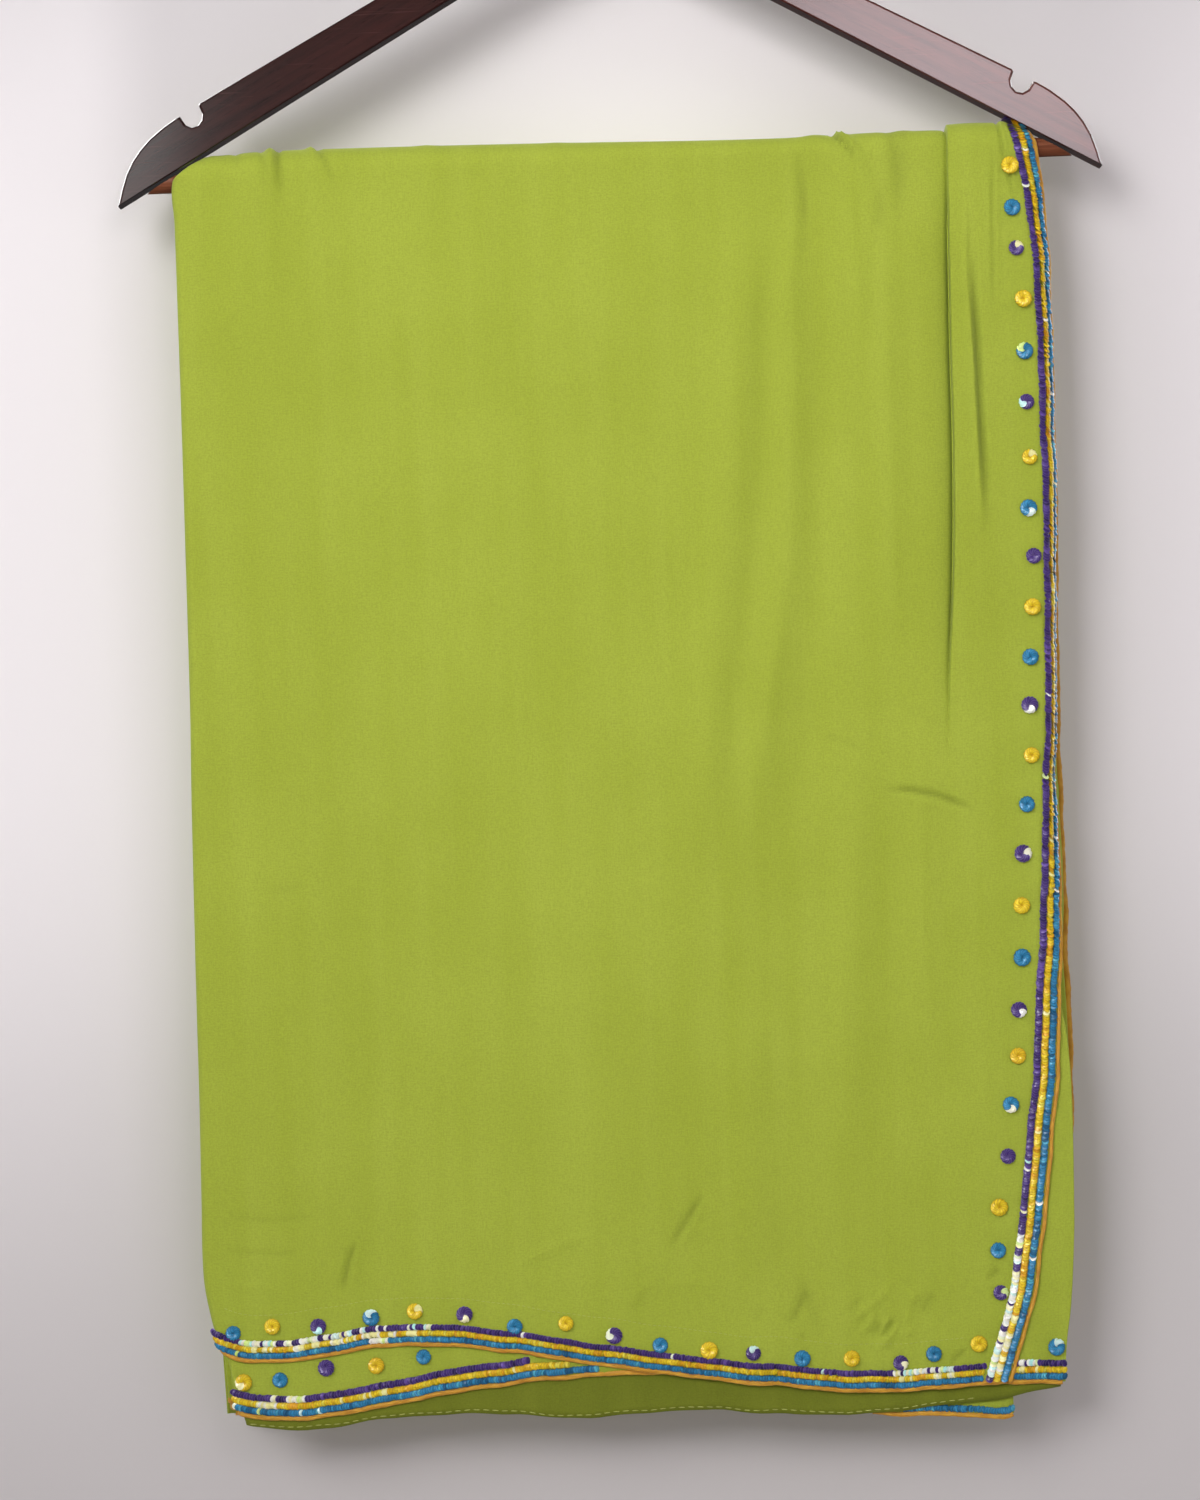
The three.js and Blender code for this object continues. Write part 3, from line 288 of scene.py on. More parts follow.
# height, half width, share over which each end fades, then the (x, s) points of its line;
# creases of the front drop, then of the back drop, many of both beginning on the crest
CREASE_ROWS = (
    (1.8, 8.5, 0.18, (61, 4), (56.5, 63), (48.5, 144), (34, 243), (27, 330)),
    (-0.8, 4.5, 0.25, (68.5, 30), (67, 100), (61, 170), (48, 243), (39, 325)),
    (1.6, 5.5, 0.2, (80.5, 10), (79, 100), (73, 186), (60, 255), (51, 325)),
    (-1.25, 7, 0.16, (92, 4), (94, 100), (88, 186), (78, 260), (68, 330)),
    (-0.8, 1.5, 0.3, (86.6, -6), (86.4, 6), (87.4, 34)),
    (1.2, 4, 0.3, (107, 0), (109.5, 30), (112.5, 92)),
    (1.3, 5.5, 0.3, (123.5, 10), (121.5, 120), (119, 245)),
    (1, 7, 0.3, (100, 235), (96.5, 320), (91, 400), (83, 500)),
    (-0.8, 7, 0.3, (115.5, 240), (113, 320), (108, 400), (101, 490)),
    (1.4, 8, 0.3, (47.5, 360), (45, 440), (41.5, 528)),
    (0.9, 6, 0.3, (131, 250), (129, 330), (125, 420)),
    (1, 1.2, 0.25, (161.2, 18), (159, 56), (160, 86), (160.4, 116), (161.6, 176)),
    (-1.9, 1.5, 0.3, (163.5, 42), (162.6, 66), (163, 90), (163.2, 116), (164.4, 182)),
    (-0.9, 0.9, 0.3, (176.4, -38), (177, -14), (178.2, 2), (181.5, 18), (185, 34)),
    (0.7, 1.2, 0.3, (178, -38), (178.6, -14), (179.8, 2), (183.1, 18), (186.6, 34)),
    (-0.8, 0.8, 0.25, (174.4, 0), (173, 20), (172, 45), (170.6, 78)),
    (0.35, 1.4, 0.3, (176, -4), (174.8, 20), (173.6, 45), (172.4, 78)),
    (2.2, 1.8, 0.3, (101.8, -38), (103.5, -17), (107, -9), (111.5, -1), (115, 6), (117.5, 16)),
    (-2.1, 1.2, 0.3, (99.5, -38), (101.2, -17), (104.6, -9), (109.2, -1), (112.8, 6)),
    (0.8, 5, 0.35, (92.5, -38), (93, -22), (94, -10), (95.5, 6)),
    (0.9, 3.2, 0.35, (132.4, -38), (133, -22), (134.2, -10), (134, 2)),
    (-0.8, 2.6, 0.35, (127.5, -38), (128, -14), (129, -2), (130, 14), (129.5, 36)),
    (0.7, 3, 0.4, (-180.8, -38), (-181, -22), (-181.5, -8), (-184, 14)),
    (-0.8, 1.6, 0.4, (-171.8, -38), (-171, -20), (-169.5, -9), (-168.5, 2)),
    (1.5, 1.7, 0.3, (-155.4, -38), (-155, -18), (-154.2, -8), (-152.4, 4), (-152, 16)),
    (-1.1, 1.3, 0.35, (-151.5, -38), (-151, -18), (-150, -8), (-148.6, 4), (-149.4, 14)),
    (-0.6, 1.4, 0.35, (-159.1, -38), (-158.6, -16), (-157.6, -6), (-156.8, 12)),
    (0.6, 3.2, 0.4, (-154, 0), (-155, 30), (-153, 70)),
    (1, 2, 0.4, (-138.2, -38), (-137, -18), (-134.5, -9), (-131.5, 0)),
    (-1, 1.4, 0.35, (-135, -38), (-133, -14), (-129, -5), (-125, 4), (-122, 9)),
    (0.6, 3.4, 0.4, (-133, -4), (-132, 26), (-130, 74)),
    (0.45, 3.6, 0.4, (-104.5, 4), (-105, 36), (-107, 88)),
    (0.5, 3.8, 0.4, (-82.5, -38), (-83, -10), (-84, 10), (-86, 44)),
    (0.6, 4.2, 0.35, (-56, -6), (-58, 42), (-61.5, 112)),
    (0.35, 5, 0.4, (-25, -38), (-24, -10), (-22, 20), (-23, 60)),
    (-0.5, 5, 0.35, (-184, 60), (-186, 180), (-187, 330)),
    (0.5, 7, 0.35, (-166, 90), (-167, 220), (-164, 360)),
    (-1.5, 1.3, 0.3, (110, 289.4), (124, 290.6), (136, 293.2), (156, 302)),
    (0.45, 1.7, 0.35, (110, 293), (123, 294.2), (134, 296.6), (154, 305.5)),
    (-0.4, 1.5, 0.3, (84, 263), (95, 267), (104, 272)),
    (0.8, 1.6, 0.3, (-64, 499), (-42.8, 489), (-26.3, 484.4)),
    (-1.3, 1.5, 0.3, (5, 495), (14, 482), (23.6, 467)),
    (0.6, 1.6, 0.3, (8.5, 495.5), (17.5, 482.5), (26.6, 468)),
    (-1.4, 1.3, 0.3, (-134.6, 482), (-138.5, 493), (-142.5, 508)),
    (0.8, 1.6, 0.3, (-131.8, 482), (-135.8, 494), (-139.6, 508)),
    (0.6, 1.3, 0.3, (-5.5, 507), (-10, 514.5), (-14, 521.5)),
    (-0.35, 1.3, 0.3, (-2.8, 508), (-7.2, 515.5), (-11, 522)),
    (0.6, 1.5, 0.3, (98.6, 512), (102, 521), (106, 532)),
    (0.45, 1.6, 0.3, (93, 514), (96, 523), (99.5, 533)),
    (0.55, 1.7, 0.3, (117, 514), (114, 524), (111, 535)),
    (0.35, 1.5, 0.3, (16, 389), (28, 390.5), (40, 390)),
    (-0.35, 1.4, 0.3, (-177, 320), (-163, 323), (-149, 323)),
    (0.4, 3, 0.3, (-164, 371), (-138, 366), (-108, 368)),
    (-0.4, 1.7, 0.3, (-196, 470), (-172, 473.5), (-150, 472)),
    (-0.35, 1.5, 0.3, (-197, 486), (-168, 488.5), (-158, 487)),
    (0.35, 1.6, 0.3, (-196, 500), (-182, 503), (-168, 502)),
    (-0.5, 2.2, 0.3, (62, 505), (70, 522), (74, 540)),
    (-1.19, 1.4, 0.3, (68.6, 513.3), (62.4, 524.4), (59, 531.2)),
    (-0.85, 1.2, 0.3, (64.6, 532), (62.8, 539.5)),
    (1.02, 1.2, 0.3, (98.9, 525.9), (94.2, 532), (90.9, 535.6)),
    (1.02, 1.2, 0.3, (105.1, 527.4), (98.5, 536)),
    (1.19, 1.3, 0.3, (109.4, 531.4), (102.1, 539.3), (97.5, 543.5)),
    (0.85, 1.3, 0.3, (115.6, 533.5), (108.5, 538.3)),
    (0.85, 1.8, 0.3, (108.4, 508.7), (101.7, 518.5), (87.4, 529.2), (81.4, 539)),
    (0.68, 1.8, 0.3, (119.5, 515.4), (114.8, 522.8)),
    (-1.02, 1.1, 0.3, (101.3, 529.8), (96.6, 536.5)),
    (-1.02, 1.1, 0.3, (107, 528.8), (100.9, 537.3)),
    (-0.77, 1.4, 0.3, (91.7, 518.1), (86.9, 526.7)),
    (-0.68, 1.9, 0.3, (125.7, 518.2), (119, 528)),
    (-1.02, 1.3, 0.3, (139.7, 544), (130.6, 549.9)),
    (-0.85, 1.5, 0.3, (156.3, 508.2), (148.5, 513.5)),
    (0.5, 1.1, 0.35, (5.3, 506.3), (20.3, 509.4), (35.4, 510)),
    (-0.5, 1.3, 0.35, (47.4, 522.5), (42.2, 527.3)),
    (0.6, 2.1, 0.35, (-151, -36), (-151.9, -8.6), (-154.9, 2.6), (-159.4, 20)),
    (-0.4, 1.4, 0.35, (-150.8, -36), (-150.7, -7.3), (-150.5, 5.3)),
    (0.4, 1.8, 0.35, (-135.6, -36), (-135.6, -6.7), (-135.5, 8.4)),
    (0.35, 2.5, 0.35, (-83, 0.6), (-80, 18.3)),
    (0.45, 3, 0.35, (-56.5, -0.8), (-58.8, 21.7), (-62.3, 46.8)),
    (0.3, 2.4, 0.35, (-107.3, 9.6), (-108.6, 39.8)),
    (0.5, 3, 0.35, (65.5, 1.8), (61.1, 16.7), (67.8, 37.1), (57.7, 97.1)),
    (-0.5, 1.9, 0.35, (85.6, 2.6), (87.4, 20.3), (86, 53)),
    (0.5, 2.5, 0.35, (81.5, 10), (81.6, 37.7), (75.9, 82.8)),
    (0.5, 2.6, 0.35, (98.9, 15.8), (101.3, 48.6), (98.3, 88.8)),
    (0.5, 2.2, 0.35, (115.7, 3.9), (117.5, 21.6), (113.4, 59.2)),
    (-0.5, 2.4, 0.35, (122.9, 14.2), (120.6, 39.3)),
    (-0.5, 2.6, 0.35, (133.8, -36), (133.7, -2.9), (133.4, 32.3)),
    (0.4, 2, 0.35, (128.9, -36), (128.4, 1.9), (126.7, 24.5)),
    (-0.9, 1.3, 0.3, (146, -36), (148, -90), (147, -160)),
    (0.9, 2, 0.3, (138, -40), (139.5, -80), (138, -150)),
    (1, 2.2, 0.3, (-120, -34), (-117, -60), (-118, -96)),
    (-0.8, 1.8, 0.3, (-30, -36), (-26, -56), (-27.5, -84)),
    (0.8, 2.6, 0.3, (60, -34), (57, -70), (59, -130)),
    (1.4, 8, 0.2, (-140, -40), (-136, -160), (-120, -290), (-116, -380)),
    (-1.2, 7, 0.3, (-118, -60), (-112, -180), (-98, -300)),
    (1.2, 7, 0.3, (20, -50), (28, -200), (40, -330)),
    (-0.7, 2, 0.3, (-150, -500), (-146, -520), (-149, -560)),
    (0.7, 1.9, 0.3, (10, -470), (17, -492), (28, -505)),
    (0.7, 2.2, 0.3, (90, -520), (92, -545), (90.5, -572)),
    (-0.5, 1.8, 0.3, (-60, -330), (-30, -334), (-8, -331)),
)
CREASES = tuple(Crease(high, half, ease, line) for high, half, ease, *line in CREASE_ROWS)


def turned(run: Array, angle: Array | float, length: float) -> tuple[Array, Array, Array]:
    """Where a turn of a given angle, spread over a given length, has got to.

    Args:
        run: Length gone since the turn began.
        angle: Whole angle of the turn, in radians.
        length: Length over which the turn is made.

    Returns:
        Distance gone along the first direction, distance gone down from it, angle turned.
    """
    angle = np.maximum(angle, 1e-5)
    within = np.minimum(run, length)
    now = angle * within / length
    radius = length / angle
    along = radius * np.sin(now) + (run - within) * np.cos(now)
    down = radius * (1 - np.cos(now)) + (run - within) * np.sin(now)
    return along, down, now


class Drape:
    """The folded pile's shape: turns places on the cloth into places in the room."""

    LEFT_BEND, LEFT_ANGLE, LEFT_REACH = 5.6, math.radians(80), 4.0
    SIDE_BEND, SIDE_ANGLE, SIDE_REACH = 3.0, math.radians(80), 2.2
    TUCK_HIGH, TUCK_HALF, TUCK_FRONT, TUCK_BACK, TUCK_FADE = 1.9, 0.45, 290.0, -330.0, 120.0
    TUCK_DEEP, TUCK_SLOPE, TUCK_SHOULDER = 4.4, 0.9, 4.5
    # Painted shade: narrow troughs and the tuck's groove get a darker tone painted into the cloth's colour.
    NARROW = 2.7  # half width below which a trough looks dark inside
    CREASE_SHADE_DEPTH = 2.4  # depth at which it is darkest
    CLEAR = 1.4  # distance that the layers below keep from the creases

    def __init__(self) -> None:
        """Fits a curve through each column of the tables."""
        self.left, self.tuck, self.purple, self.turn, self.thick, self.core_side = (
            Curve.of(DRAPE_ROWS, column) for column in range(1, 7)
        )
        self.crest = Curve.of(CREST_ROWS)
        self.second_side = Curve.of(SECOND_SIDE)
        self.hems = {
            "front": Curve.of(FRONT_HEM),
            "back": Curve.of(BACK_HEM),
            "second": Curve.of(SECOND_HEM),
            "wrong": Curve.of(WRONG_HEM),
            "lower": Curve.of(LOWER_HEM),
        }
        self.hem_wave = Waves((23.0, 37.0, 61.0), 5)
        self.end_wave = Waves((31.0, 53.0, 88.0), 6)
        self.pucker = Waves((13.0, 19.0, 29.0), 7)
        self.end_pucker = Waves((14.0, 22.0, 33.0), 8)
        self.sway_x = Waves((96.0, 141.0, 67.0), 9)
        self.sway_s = Waves((260.0, 410.0), 10)

    def hem(self, name: str, x: Array | float) -> Array:
        """s of a bottom edge at x, with the slight wave of its stitched edge."""
        return self.hems[name](x) + 0.3 * self.hem_wave(np.asarray(x, float) + 40.0 * len(name))

    @staticmethod
    def drop(s: Array) -> Array:
        """Distance below the bar's centre line, on either side."""
        return np.where(s >= 0, s, np.maximum(-s - CREST_LENGTH, 0))

    def fold_start(self, s: Array | float) -> Array:
        """x at which the cloth starts to turn round the left fold."""
        return self.left(s) + self.LEFT_REACH

    def band_start(self, s: Array | float) -> Array:
        """x at which the cloth starts to turn into the end border."""
        return self.purple(s) - PURPLE + 0.3 * self.end_wave(s)

    def core_depth(self, s: Array | float) -> Array:
        """Depth at which the hidden layers start."""
        return (
            LAYER
            + LAYER * smooth_step(300, 334, s)
            + LAYER * smooth_step(440, 482, s)
            + (LAYER + 0.6) * smooth_step(488, 519, s)
        )

    def pile_height(self, x: Array, s: Array) -> Array:
        """Height of the top layer's outer face over the path round the bar.

        Args:
            x: Places across the flat of the cloth.
            s: Places down the cloth.

        Returns:
            The height at each place.
        """
        drop = self.drop(s)
        hanging = smooth_step(0, 70, drop)
        start, tuck = self.fold_start(s), self.tuck(s)
        share = (x - start) / (tuck - start)
        height = self.crest(x) * (1 - hanging) + self.thick(s) * hanging
        for at, wide, high, begin, end in SOFT_FOLDS:
            run = smooth_step(begin, begin + 60, s) * (1 - smooth_step(end - 80, end, s))
            height = height + high * run * np.exp(-(((share - at) / wide) ** 2))
        run, flap, groove = self.tucked(x, s)
        height = height + run * (self.TUCK_HIGH * flap - self.TUCK_DEEP * groove)
        for crease in CREASES:
            height = height + crease.height(x, s)
        return height + self.unevenness(x, s, hanging)

    def tucked(self, x: Array, s: Array) -> tuple[Array, Array, Array]:
        """The long tuck: how far it has opened, its raised flap, and the groove beside it.

        Args:
            x: Places across the flat of the cloth.
            s: Places down the cloth.

        Returns:
            Three shares from 0 to 1.
        """
        tuck = self.tuck(s)
        run = (
            1
            - smooth_step(self.TUCK_FRONT - self.TUCK_FADE, self.TUCK_FRONT, s)
            - smooth_step(-self.TUCK_BACK - self.TUCK_FADE, -self.TUCK_BACK, -s)
        )
        past = smooth_step(-self.TUCK_HALF, self.TUCK_HALF, x - tuck)
        before = np.maximum(tuck - self.TUCK_HALF - x, 0)
        groove = 0.6 * np.exp(-before / self.TUCK_SLOPE) + 0.4 * np.exp(-before / self.TUCK_SHOULDER)
        groove = groove * (1 - past) * (0.3 + 0.7 * smooth_step(0, 60, np.abs(s)))
        return run, past * (1 - 0.75 * smooth_step(4, 30, x - tuck)), groove

    def hollow(self, x: Array, s: Array) -> Array:
        """How much painted shade each place gets for lying deep in a narrow crease or the tuck's groove,
        from 0 to 1.
        """
        run, _, groove = self.tucked(x, s)
        deep = 1.15 * run * groove
        for crease in CREASES:
            if crease.high < 0 and crease.half < self.NARROW:
                deep = deep + np.maximum(-crease.height(x, s), 0) / self.CREASE_SHADE_DEPTH
        return np.clip(deep, 0, 1)

    def within(self, x: Array, s: Array) -> Array:
        """How far inside the left fold and the end border a place lies, from 0 to 1."""
        return smooth_step(0, 24, x - self.fold_start(s)) * smooth_step(0, 14, self.band_start(s) - x)

    def covered(self, x: Array, s: Array) -> Array:
        """How far under the front of the top layer a place lies, from 0 to 1."""
        return self.within(x, s) * smooth_step(2, 16, self.hem("front", x) - s)

    def clearance(self, x: Array, s: Array) -> Array:
        """How far the hidden layers keep clear of the creases of the top layer."""
        drop = self.drop(s)
        run, _, _ = self.tucked(x, s)
        tuck = np.exp(-(((x - self.tuck(s)) / 34) ** 2))
        return self.CLEAR * self.within(x, s) + smooth_step(0, 40, drop) * self.TUCK_DEEP * 1.1 * run * tuck

    def unevenness(self, x: Array, s: Array, hanging: Array) -> Array:
        """Slow sway of the whole cloth, and the puckers beside its stitched borders."""
        sway = 0.32 * self.sway_x(x + 9 * self.sway_s(s)) * hanging
        above = np.where(s > -15, self.hem("front", x) - s, s + CREST_LENGTH + self.hem("back", x))
        near_hem = np.exp(-((np.maximum(above - 8, 0) / 16) ** 2))
        near_end = np.exp(-((np.maximum(self.band_start(s) - x, 0) / 13) ** 2)) * hanging
        return sway + 0.3 * near_hem * self.pucker(x) + 0.22 * near_end * self.end_pucker(s)

    def spine(self, s: Array) -> tuple[Array, Array, Array, Array]:
        """The path that the pile's inner face follows round the bar.

        Args:
            s: Places down the cloth.

        Returns:
            y and z of the path, then y and z of its outward direction.
        """
        radius = BAR_RADIUS + SEAM
        angle = np.clip(-s / CREST_LENGTH, 0, 1) * math.pi
        out_y, out_z = -np.cos(angle), np.sin(angle)
        return radius * out_y, -BAR_DROP + radius * out_z - self.drop(s), out_y, out_z

    def point(self, q: Array, s: Array, depth: Array | float, side_end: Array | None = None) -> Array:
        """Place in the room of places on the cloth.

        Args:
            q: Lengths across the cloth.
            s: Lengths down the cloth.
            depth: Distance in from the top layer's outer face.
            side_end: Length past the turn at which the cloth folds back under itself.

        Returns:
            Points in millimetres, one row of x, y and z for each place.
        """
        q, s, depth = (np.array(part, float) for part in np.broadcast_arrays(q, s, depth))
        low, high = self.fold_start(s), self.band_start(s)
        x = np.clip(q, low, high)
        height = self.pile_height(x, s)
        fold_x, fold_down, lean = turned(np.maximum(low - q, 0), self.LEFT_ANGLE, self.LEFT_BEND)
        x, height, lean = x - fold_x, height - fold_down, -lean
        run = np.maximum(q - high, 0)
        first = run if side_end is None else np.minimum(run, side_end)
        turn_x, turn_down, turn_lean = turned(first, np.radians(self.turn(s)), BEND)
        x, height, lean = x + turn_x, height - turn_down, lean + turn_lean
        if side_end is not None:
            along, down, more = turned(np.maximum(run - side_end, 0), self.SIDE_ANGLE, self.SIDE_BEND)
            x = x + along * np.cos(lean) - down * np.sin(lean)
            height = height - along * np.sin(lean) - down * np.cos(lean)
            lean = lean + more
        x = x - depth * np.sin(lean)
        height = height - depth * np.cos(lean)
        y, z, out_y, out_z = self.spine(s)
        return np.stack([x, y + height * out_y, z + height * out_z], axis=-1)

    def run_to_reach(self, x: Array | float, s: Array | float) -> Array:
        """Length past the start of the turn at which a lower layer's edge reaches x."""
        angle = np.radians(self.turn(s))
        along, _, _ = turned(np.full(np.shape(s), BEND), angle, BEND)
        return BEND + (x - self.band_start(s) - along) / np.cos(angle)


DRAPE = Drape()


class Edge(Enum):
    """The stitched edges of the saree that carry a border."""

    END = "end"
    FRONT = "front_hem"
    BACK = "back_hem"
    SECOND = "second_hem"
    CORNER = "second_corner"
    LOWER = "lower_hem"


@dataclass(frozen=True)
class Line:
    """A line on the cloth, from one end to the other, with the depth at which it lies.

    Attributes:
        q: Lengths across the cloth, closely spaced.
        s: Lengths down the cloth at the same places.
        depth: Distance in from the top layer's outer face.
    """

    q: Array
    s: Array
    depth: float

    def places(self, depth: float = 0.0) -> Array:
        """Points of the line in the room, at a depth below its own."""
        return DRAPE.point(self.q, self.s, self.depth + depth)

    def evenly(self, pitch: float) -> "Line":
        """The same line with its points a pitch apart."""
        places = self.places()
        gone = run_along(places)
        count = max(int(gone[-1] / pitch), 1)
        at = (np.arange(count) + 0.5) * gone[-1] / count
        return Line(np.interp(at, gone, self.q), np.interp(at, gone, self.s), self.depth)

    def framed(self, depth: float = 0.0) -> tuple[Array, Array, Array]:
        """The line's points with their directions.

        Args:
            depth: Depth of the points below the line's own.

        Returns:
            Points, unit directions along the line, unit directions out of the cloth.
        """
        places = self.places(depth)
        outward = unit(self.places(depth - 1.0) - places)
        along = unit(np.gradient(places, axis=0))
        outward = unit(outward - along * np.sum(outward * along, axis=-1, keepdims=True))
        return places, along, outward


LOWER_SPAN = (95.0, 159.5)  # ends of the lower layer, across
CORNER_SPAN = (160.2, 183.4)  # where the second layer's border shows at the right
END_TRIMS = (0.4, 2.2)  # how far the end's piping, then its sequins, stop short of the hems
FOLD_RUNS = {Edge.FRONT: 6.0, Edge.SECOND: 4.2, Edge.BACK: 1.0}  # how far lines run round the left fold
SIDE_GAP = 2.4  # how far the second hem's lines stop short of its layer's right-hand edge


def edge_line(edge: Edge, rise: float, q_from: float = -1e3, q_to: float = 1e3) -> Line:
    """The line that runs along a stitched edge at a given distance in from it.

    Args:
        edge: The edge to follow.
        rise: Distance in from the piping's outer edge.
        q_from: Least q of a hem's line.
        q_to: Greatest q of a hem's line.

    Returns:
        The line, closely spaced.
    """
    fine = np.linspace(0, 1, 1600)
    if edge is Edge.END:
        trim = END_TRIMS[0] if rise < PIPING_WIDTH else END_TRIMS[1]
        s = FRONT_NOMINAL + (-CREST_LENGTH - BACK_NOMINAL - FRONT_NOMINAL) * fine
        for _ in range(2):
            q = DRAPE.band_start(s) + BAND - rise
            x = DRAPE.band_start(s)
            low = DRAPE.hem("front", x) - trim
            high = -CREST_LENGTH - DRAPE.hem("back", x) + trim
            s = low[0] + (high[-1] - low[0]) * fine
        return Line(DRAPE.band_start(s) + BAND - rise, s, 0.0)
    if edge in (Edge.LOWER, Edge.CORNER):
        hem, (low, high), depth = {
            Edge.LOWER: ("lower", LOWER_SPAN, 3 * LAYER + 0.6),
            Edge.CORNER: ("second", CORNER_SPAN, LAYER),
        }[edge]
        q = low + (high - low) * fine
        return Line(q, DRAPE.hem(hem, q) - rise, depth)
    hem = {Edge.FRONT: "front", Edge.BACK: "back", Edge.SECOND: "second"}[edge]
    sign, base = (-1.0, -CREST_LENGTH) if edge is Edge.BACK else (1.0, 0.0)
    s = np.full(fine.shape, base + sign * FRONT_NOMINAL)
    for _ in range(3):
        start = DRAPE.fold_start(s) - FOLD_RUNS[edge]
        end = DRAPE.band_start(s) + (BAND - PIPING_WIDTH if rise < PIPING_WIDTH else -0.3)
        if edge is Edge.SECOND:
            end = DRAPE.second_side(s) - SIDE_GAP
        start = np.maximum(start[0], q_from)
        q = start + (np.minimum(end[-1], q_to) - start) * fine
        s = base + sign * (DRAPE.hem(hem, q) - rise)
    return Line(q, s, LAYER if edge is Edge.SECOND else 0.0)


# --------------------------------------------------------------------------- mesh making
def linked(name: str, data: bpy.types.ID) -> Piece:
    """A new object in the scene that shows its data."""
    made = bpy.data.objects.new(name, data)
    bpy.context.scene.collection.objects.link(made)
    return made


def make_object(name: str, vertices: Array, faces: Sequence[Sequence[int]], lay: Array) -> Piece:
    """Makes a closed, smooth-shaded mesh object whose faces point outwards.

    Args:
        name: Name of the piece.
        vertices: Points in millimetres.
        faces: Corner numbers of each face.
        lay: Place of each vertex on the flat cloth, in millimetres.

    Returns:
        The new object, linked to the scene.
    """
    mesh = bpy.data.meshes.new(name)
    mesh.from_pydata((np.asarray(vertices) * MM).tolist(), [], [list(face) for face in faces])
    triangles = np.array([(f[0], f[n], f[n + 1]) for f in faces for n in range(1, len(f) - 1)])
    corners = np.asarray(vertices)[triangles]
    corners = corners - corners.reshape(-1, 3).mean(axis=0)
    volume = np.einsum("ij,ij->i", corners[:, 0], np.cross(corners[:, 1], corners[:, 2])).sum()
    if volume < 0:
        mesh.flip_normals()
    numbers = np.empty(len(mesh.loops), int)
    mesh.loops.foreach_get("vertex_index", numbers)
    layer = mesh.uv_layers.new(name="lay")
    layer.data.foreach_set("uv", (lay * MM)[numbers].ravel())
    mesh.polygons.foreach_set("use_smooth", np.ones(len(mesh.polygons), bool))
    mesh.update()
    return linked(name, mesh)


def closed_sheet(name: str, outer: Array, inner: Array, lay: Array, skip: int = 1) -> Piece:
    """Makes a sheet with a wall from the grids of its two faces.

    Args:
        name: Name of the piece.
        outer: Points of one face, across by along by three, in millimetres.
        inner: Points of the other face.
        lay: Places on the flat cloth, across by along by two.
        skip: Keeps one in this many rows and columns of the inner face.

    Returns:
        The new object.
    """
    across, along = outer.shape[:2]
    top = np.arange(across * along).reshape(across, along)
    inner = inner[::skip, ::skip]
    under = across * along + np.arange(inner.shape[0] * inner.shape[1]).reshape(inner.shape[:2])

    def quads(number: Array) -> Array:
        """Quads over a grid of vertex numbers."""
        corners = (number[:-1, :-1], number[1:, :-1], number[1:, 1:], number[:-1, 1:])
        return np.stack(corners, -1).reshape(-1, 4)

    def rim(first: Array, second: Array, flip: bool) -> list[list[int]]:
        """Faces between one edge of the outer face and the same edge of the inner face."""
        faces = []
        for n in range(len(second) - 1):
            face = [*second[n : n + 2], *first[n * skip : (n + 1) * skip + 1][::-1]]
            faces.append([int(corner) for corner in (face[::-1] if flip else face)])
        return faces

    faces = quads(top).tolist() + quads(under)[:, ::-1].tolist()
    for first, second, flip in (
        (top[:, 0], under[:, 0], False),
        (top[:, -1], under[:, -1], True),
        (top[0], under[0], True),
        (top[-1], under[-1], False),
    ):
        faces += rim(first, second, flip)
    vertices = np.concatenate([outer.reshape(-1, 3), inner.reshape(-1, 3)])
    flat = np.concatenate([lay.reshape(-1, 2), lay[::skip, ::skip].reshape(-1, 2)])
    return make_object(name, vertices, faces, flat)


def lofted(name: str, rings: Array, lay: Array) -> Piece:
    """Makes a closed tube through rings of points.

    Args:
        name: Name of the piece.
        rings: Points of each ring, rings by sides by three, in millimetres.
        lay: Length along and round the tube for each point.

    Returns:
        The new object.
    """
    count, sides = rings.shape[:2]
    number = np.arange(count * sides).reshape(count, sides)
    after = np.roll(number, -1, axis=1)
    quads = np.stack([number[:-1], after[:-1], after[1:], number[1:]], -1).reshape(-1, 4).tolist()
    faces = [*quads, number[0][::-1].tolist(), number[-1].tolist()]
    return make_object(name, rings.reshape(-1, 3), faces, lay.reshape(-1, 2))


def guide_points(name: str, points: Array, values: dict[str, Array]) -> Piece:
    """Makes a mesh of loose points that a geometry tree puts shapes on.

    Args:
        name: Name of the object.
        points: Points in millimetres.
        values: Named values for each point: numbers or vectors.

    Returns:
        The object of points.
    """
    mesh = bpy.data.meshes.new(name)
    mesh.from_pydata((points * MM).tolist(), [], [])
    for key, column in values.items():
        vector = column.ndim == 2
        attribute = mesh.attributes.new(key, "FLOAT_VECTOR" if vector else "FLOAT", "POINT")
        attribute.data.foreach_set("vector" if vector else "value", np.asarray(column, np.float32).ravel())
    return linked(name, mesh)


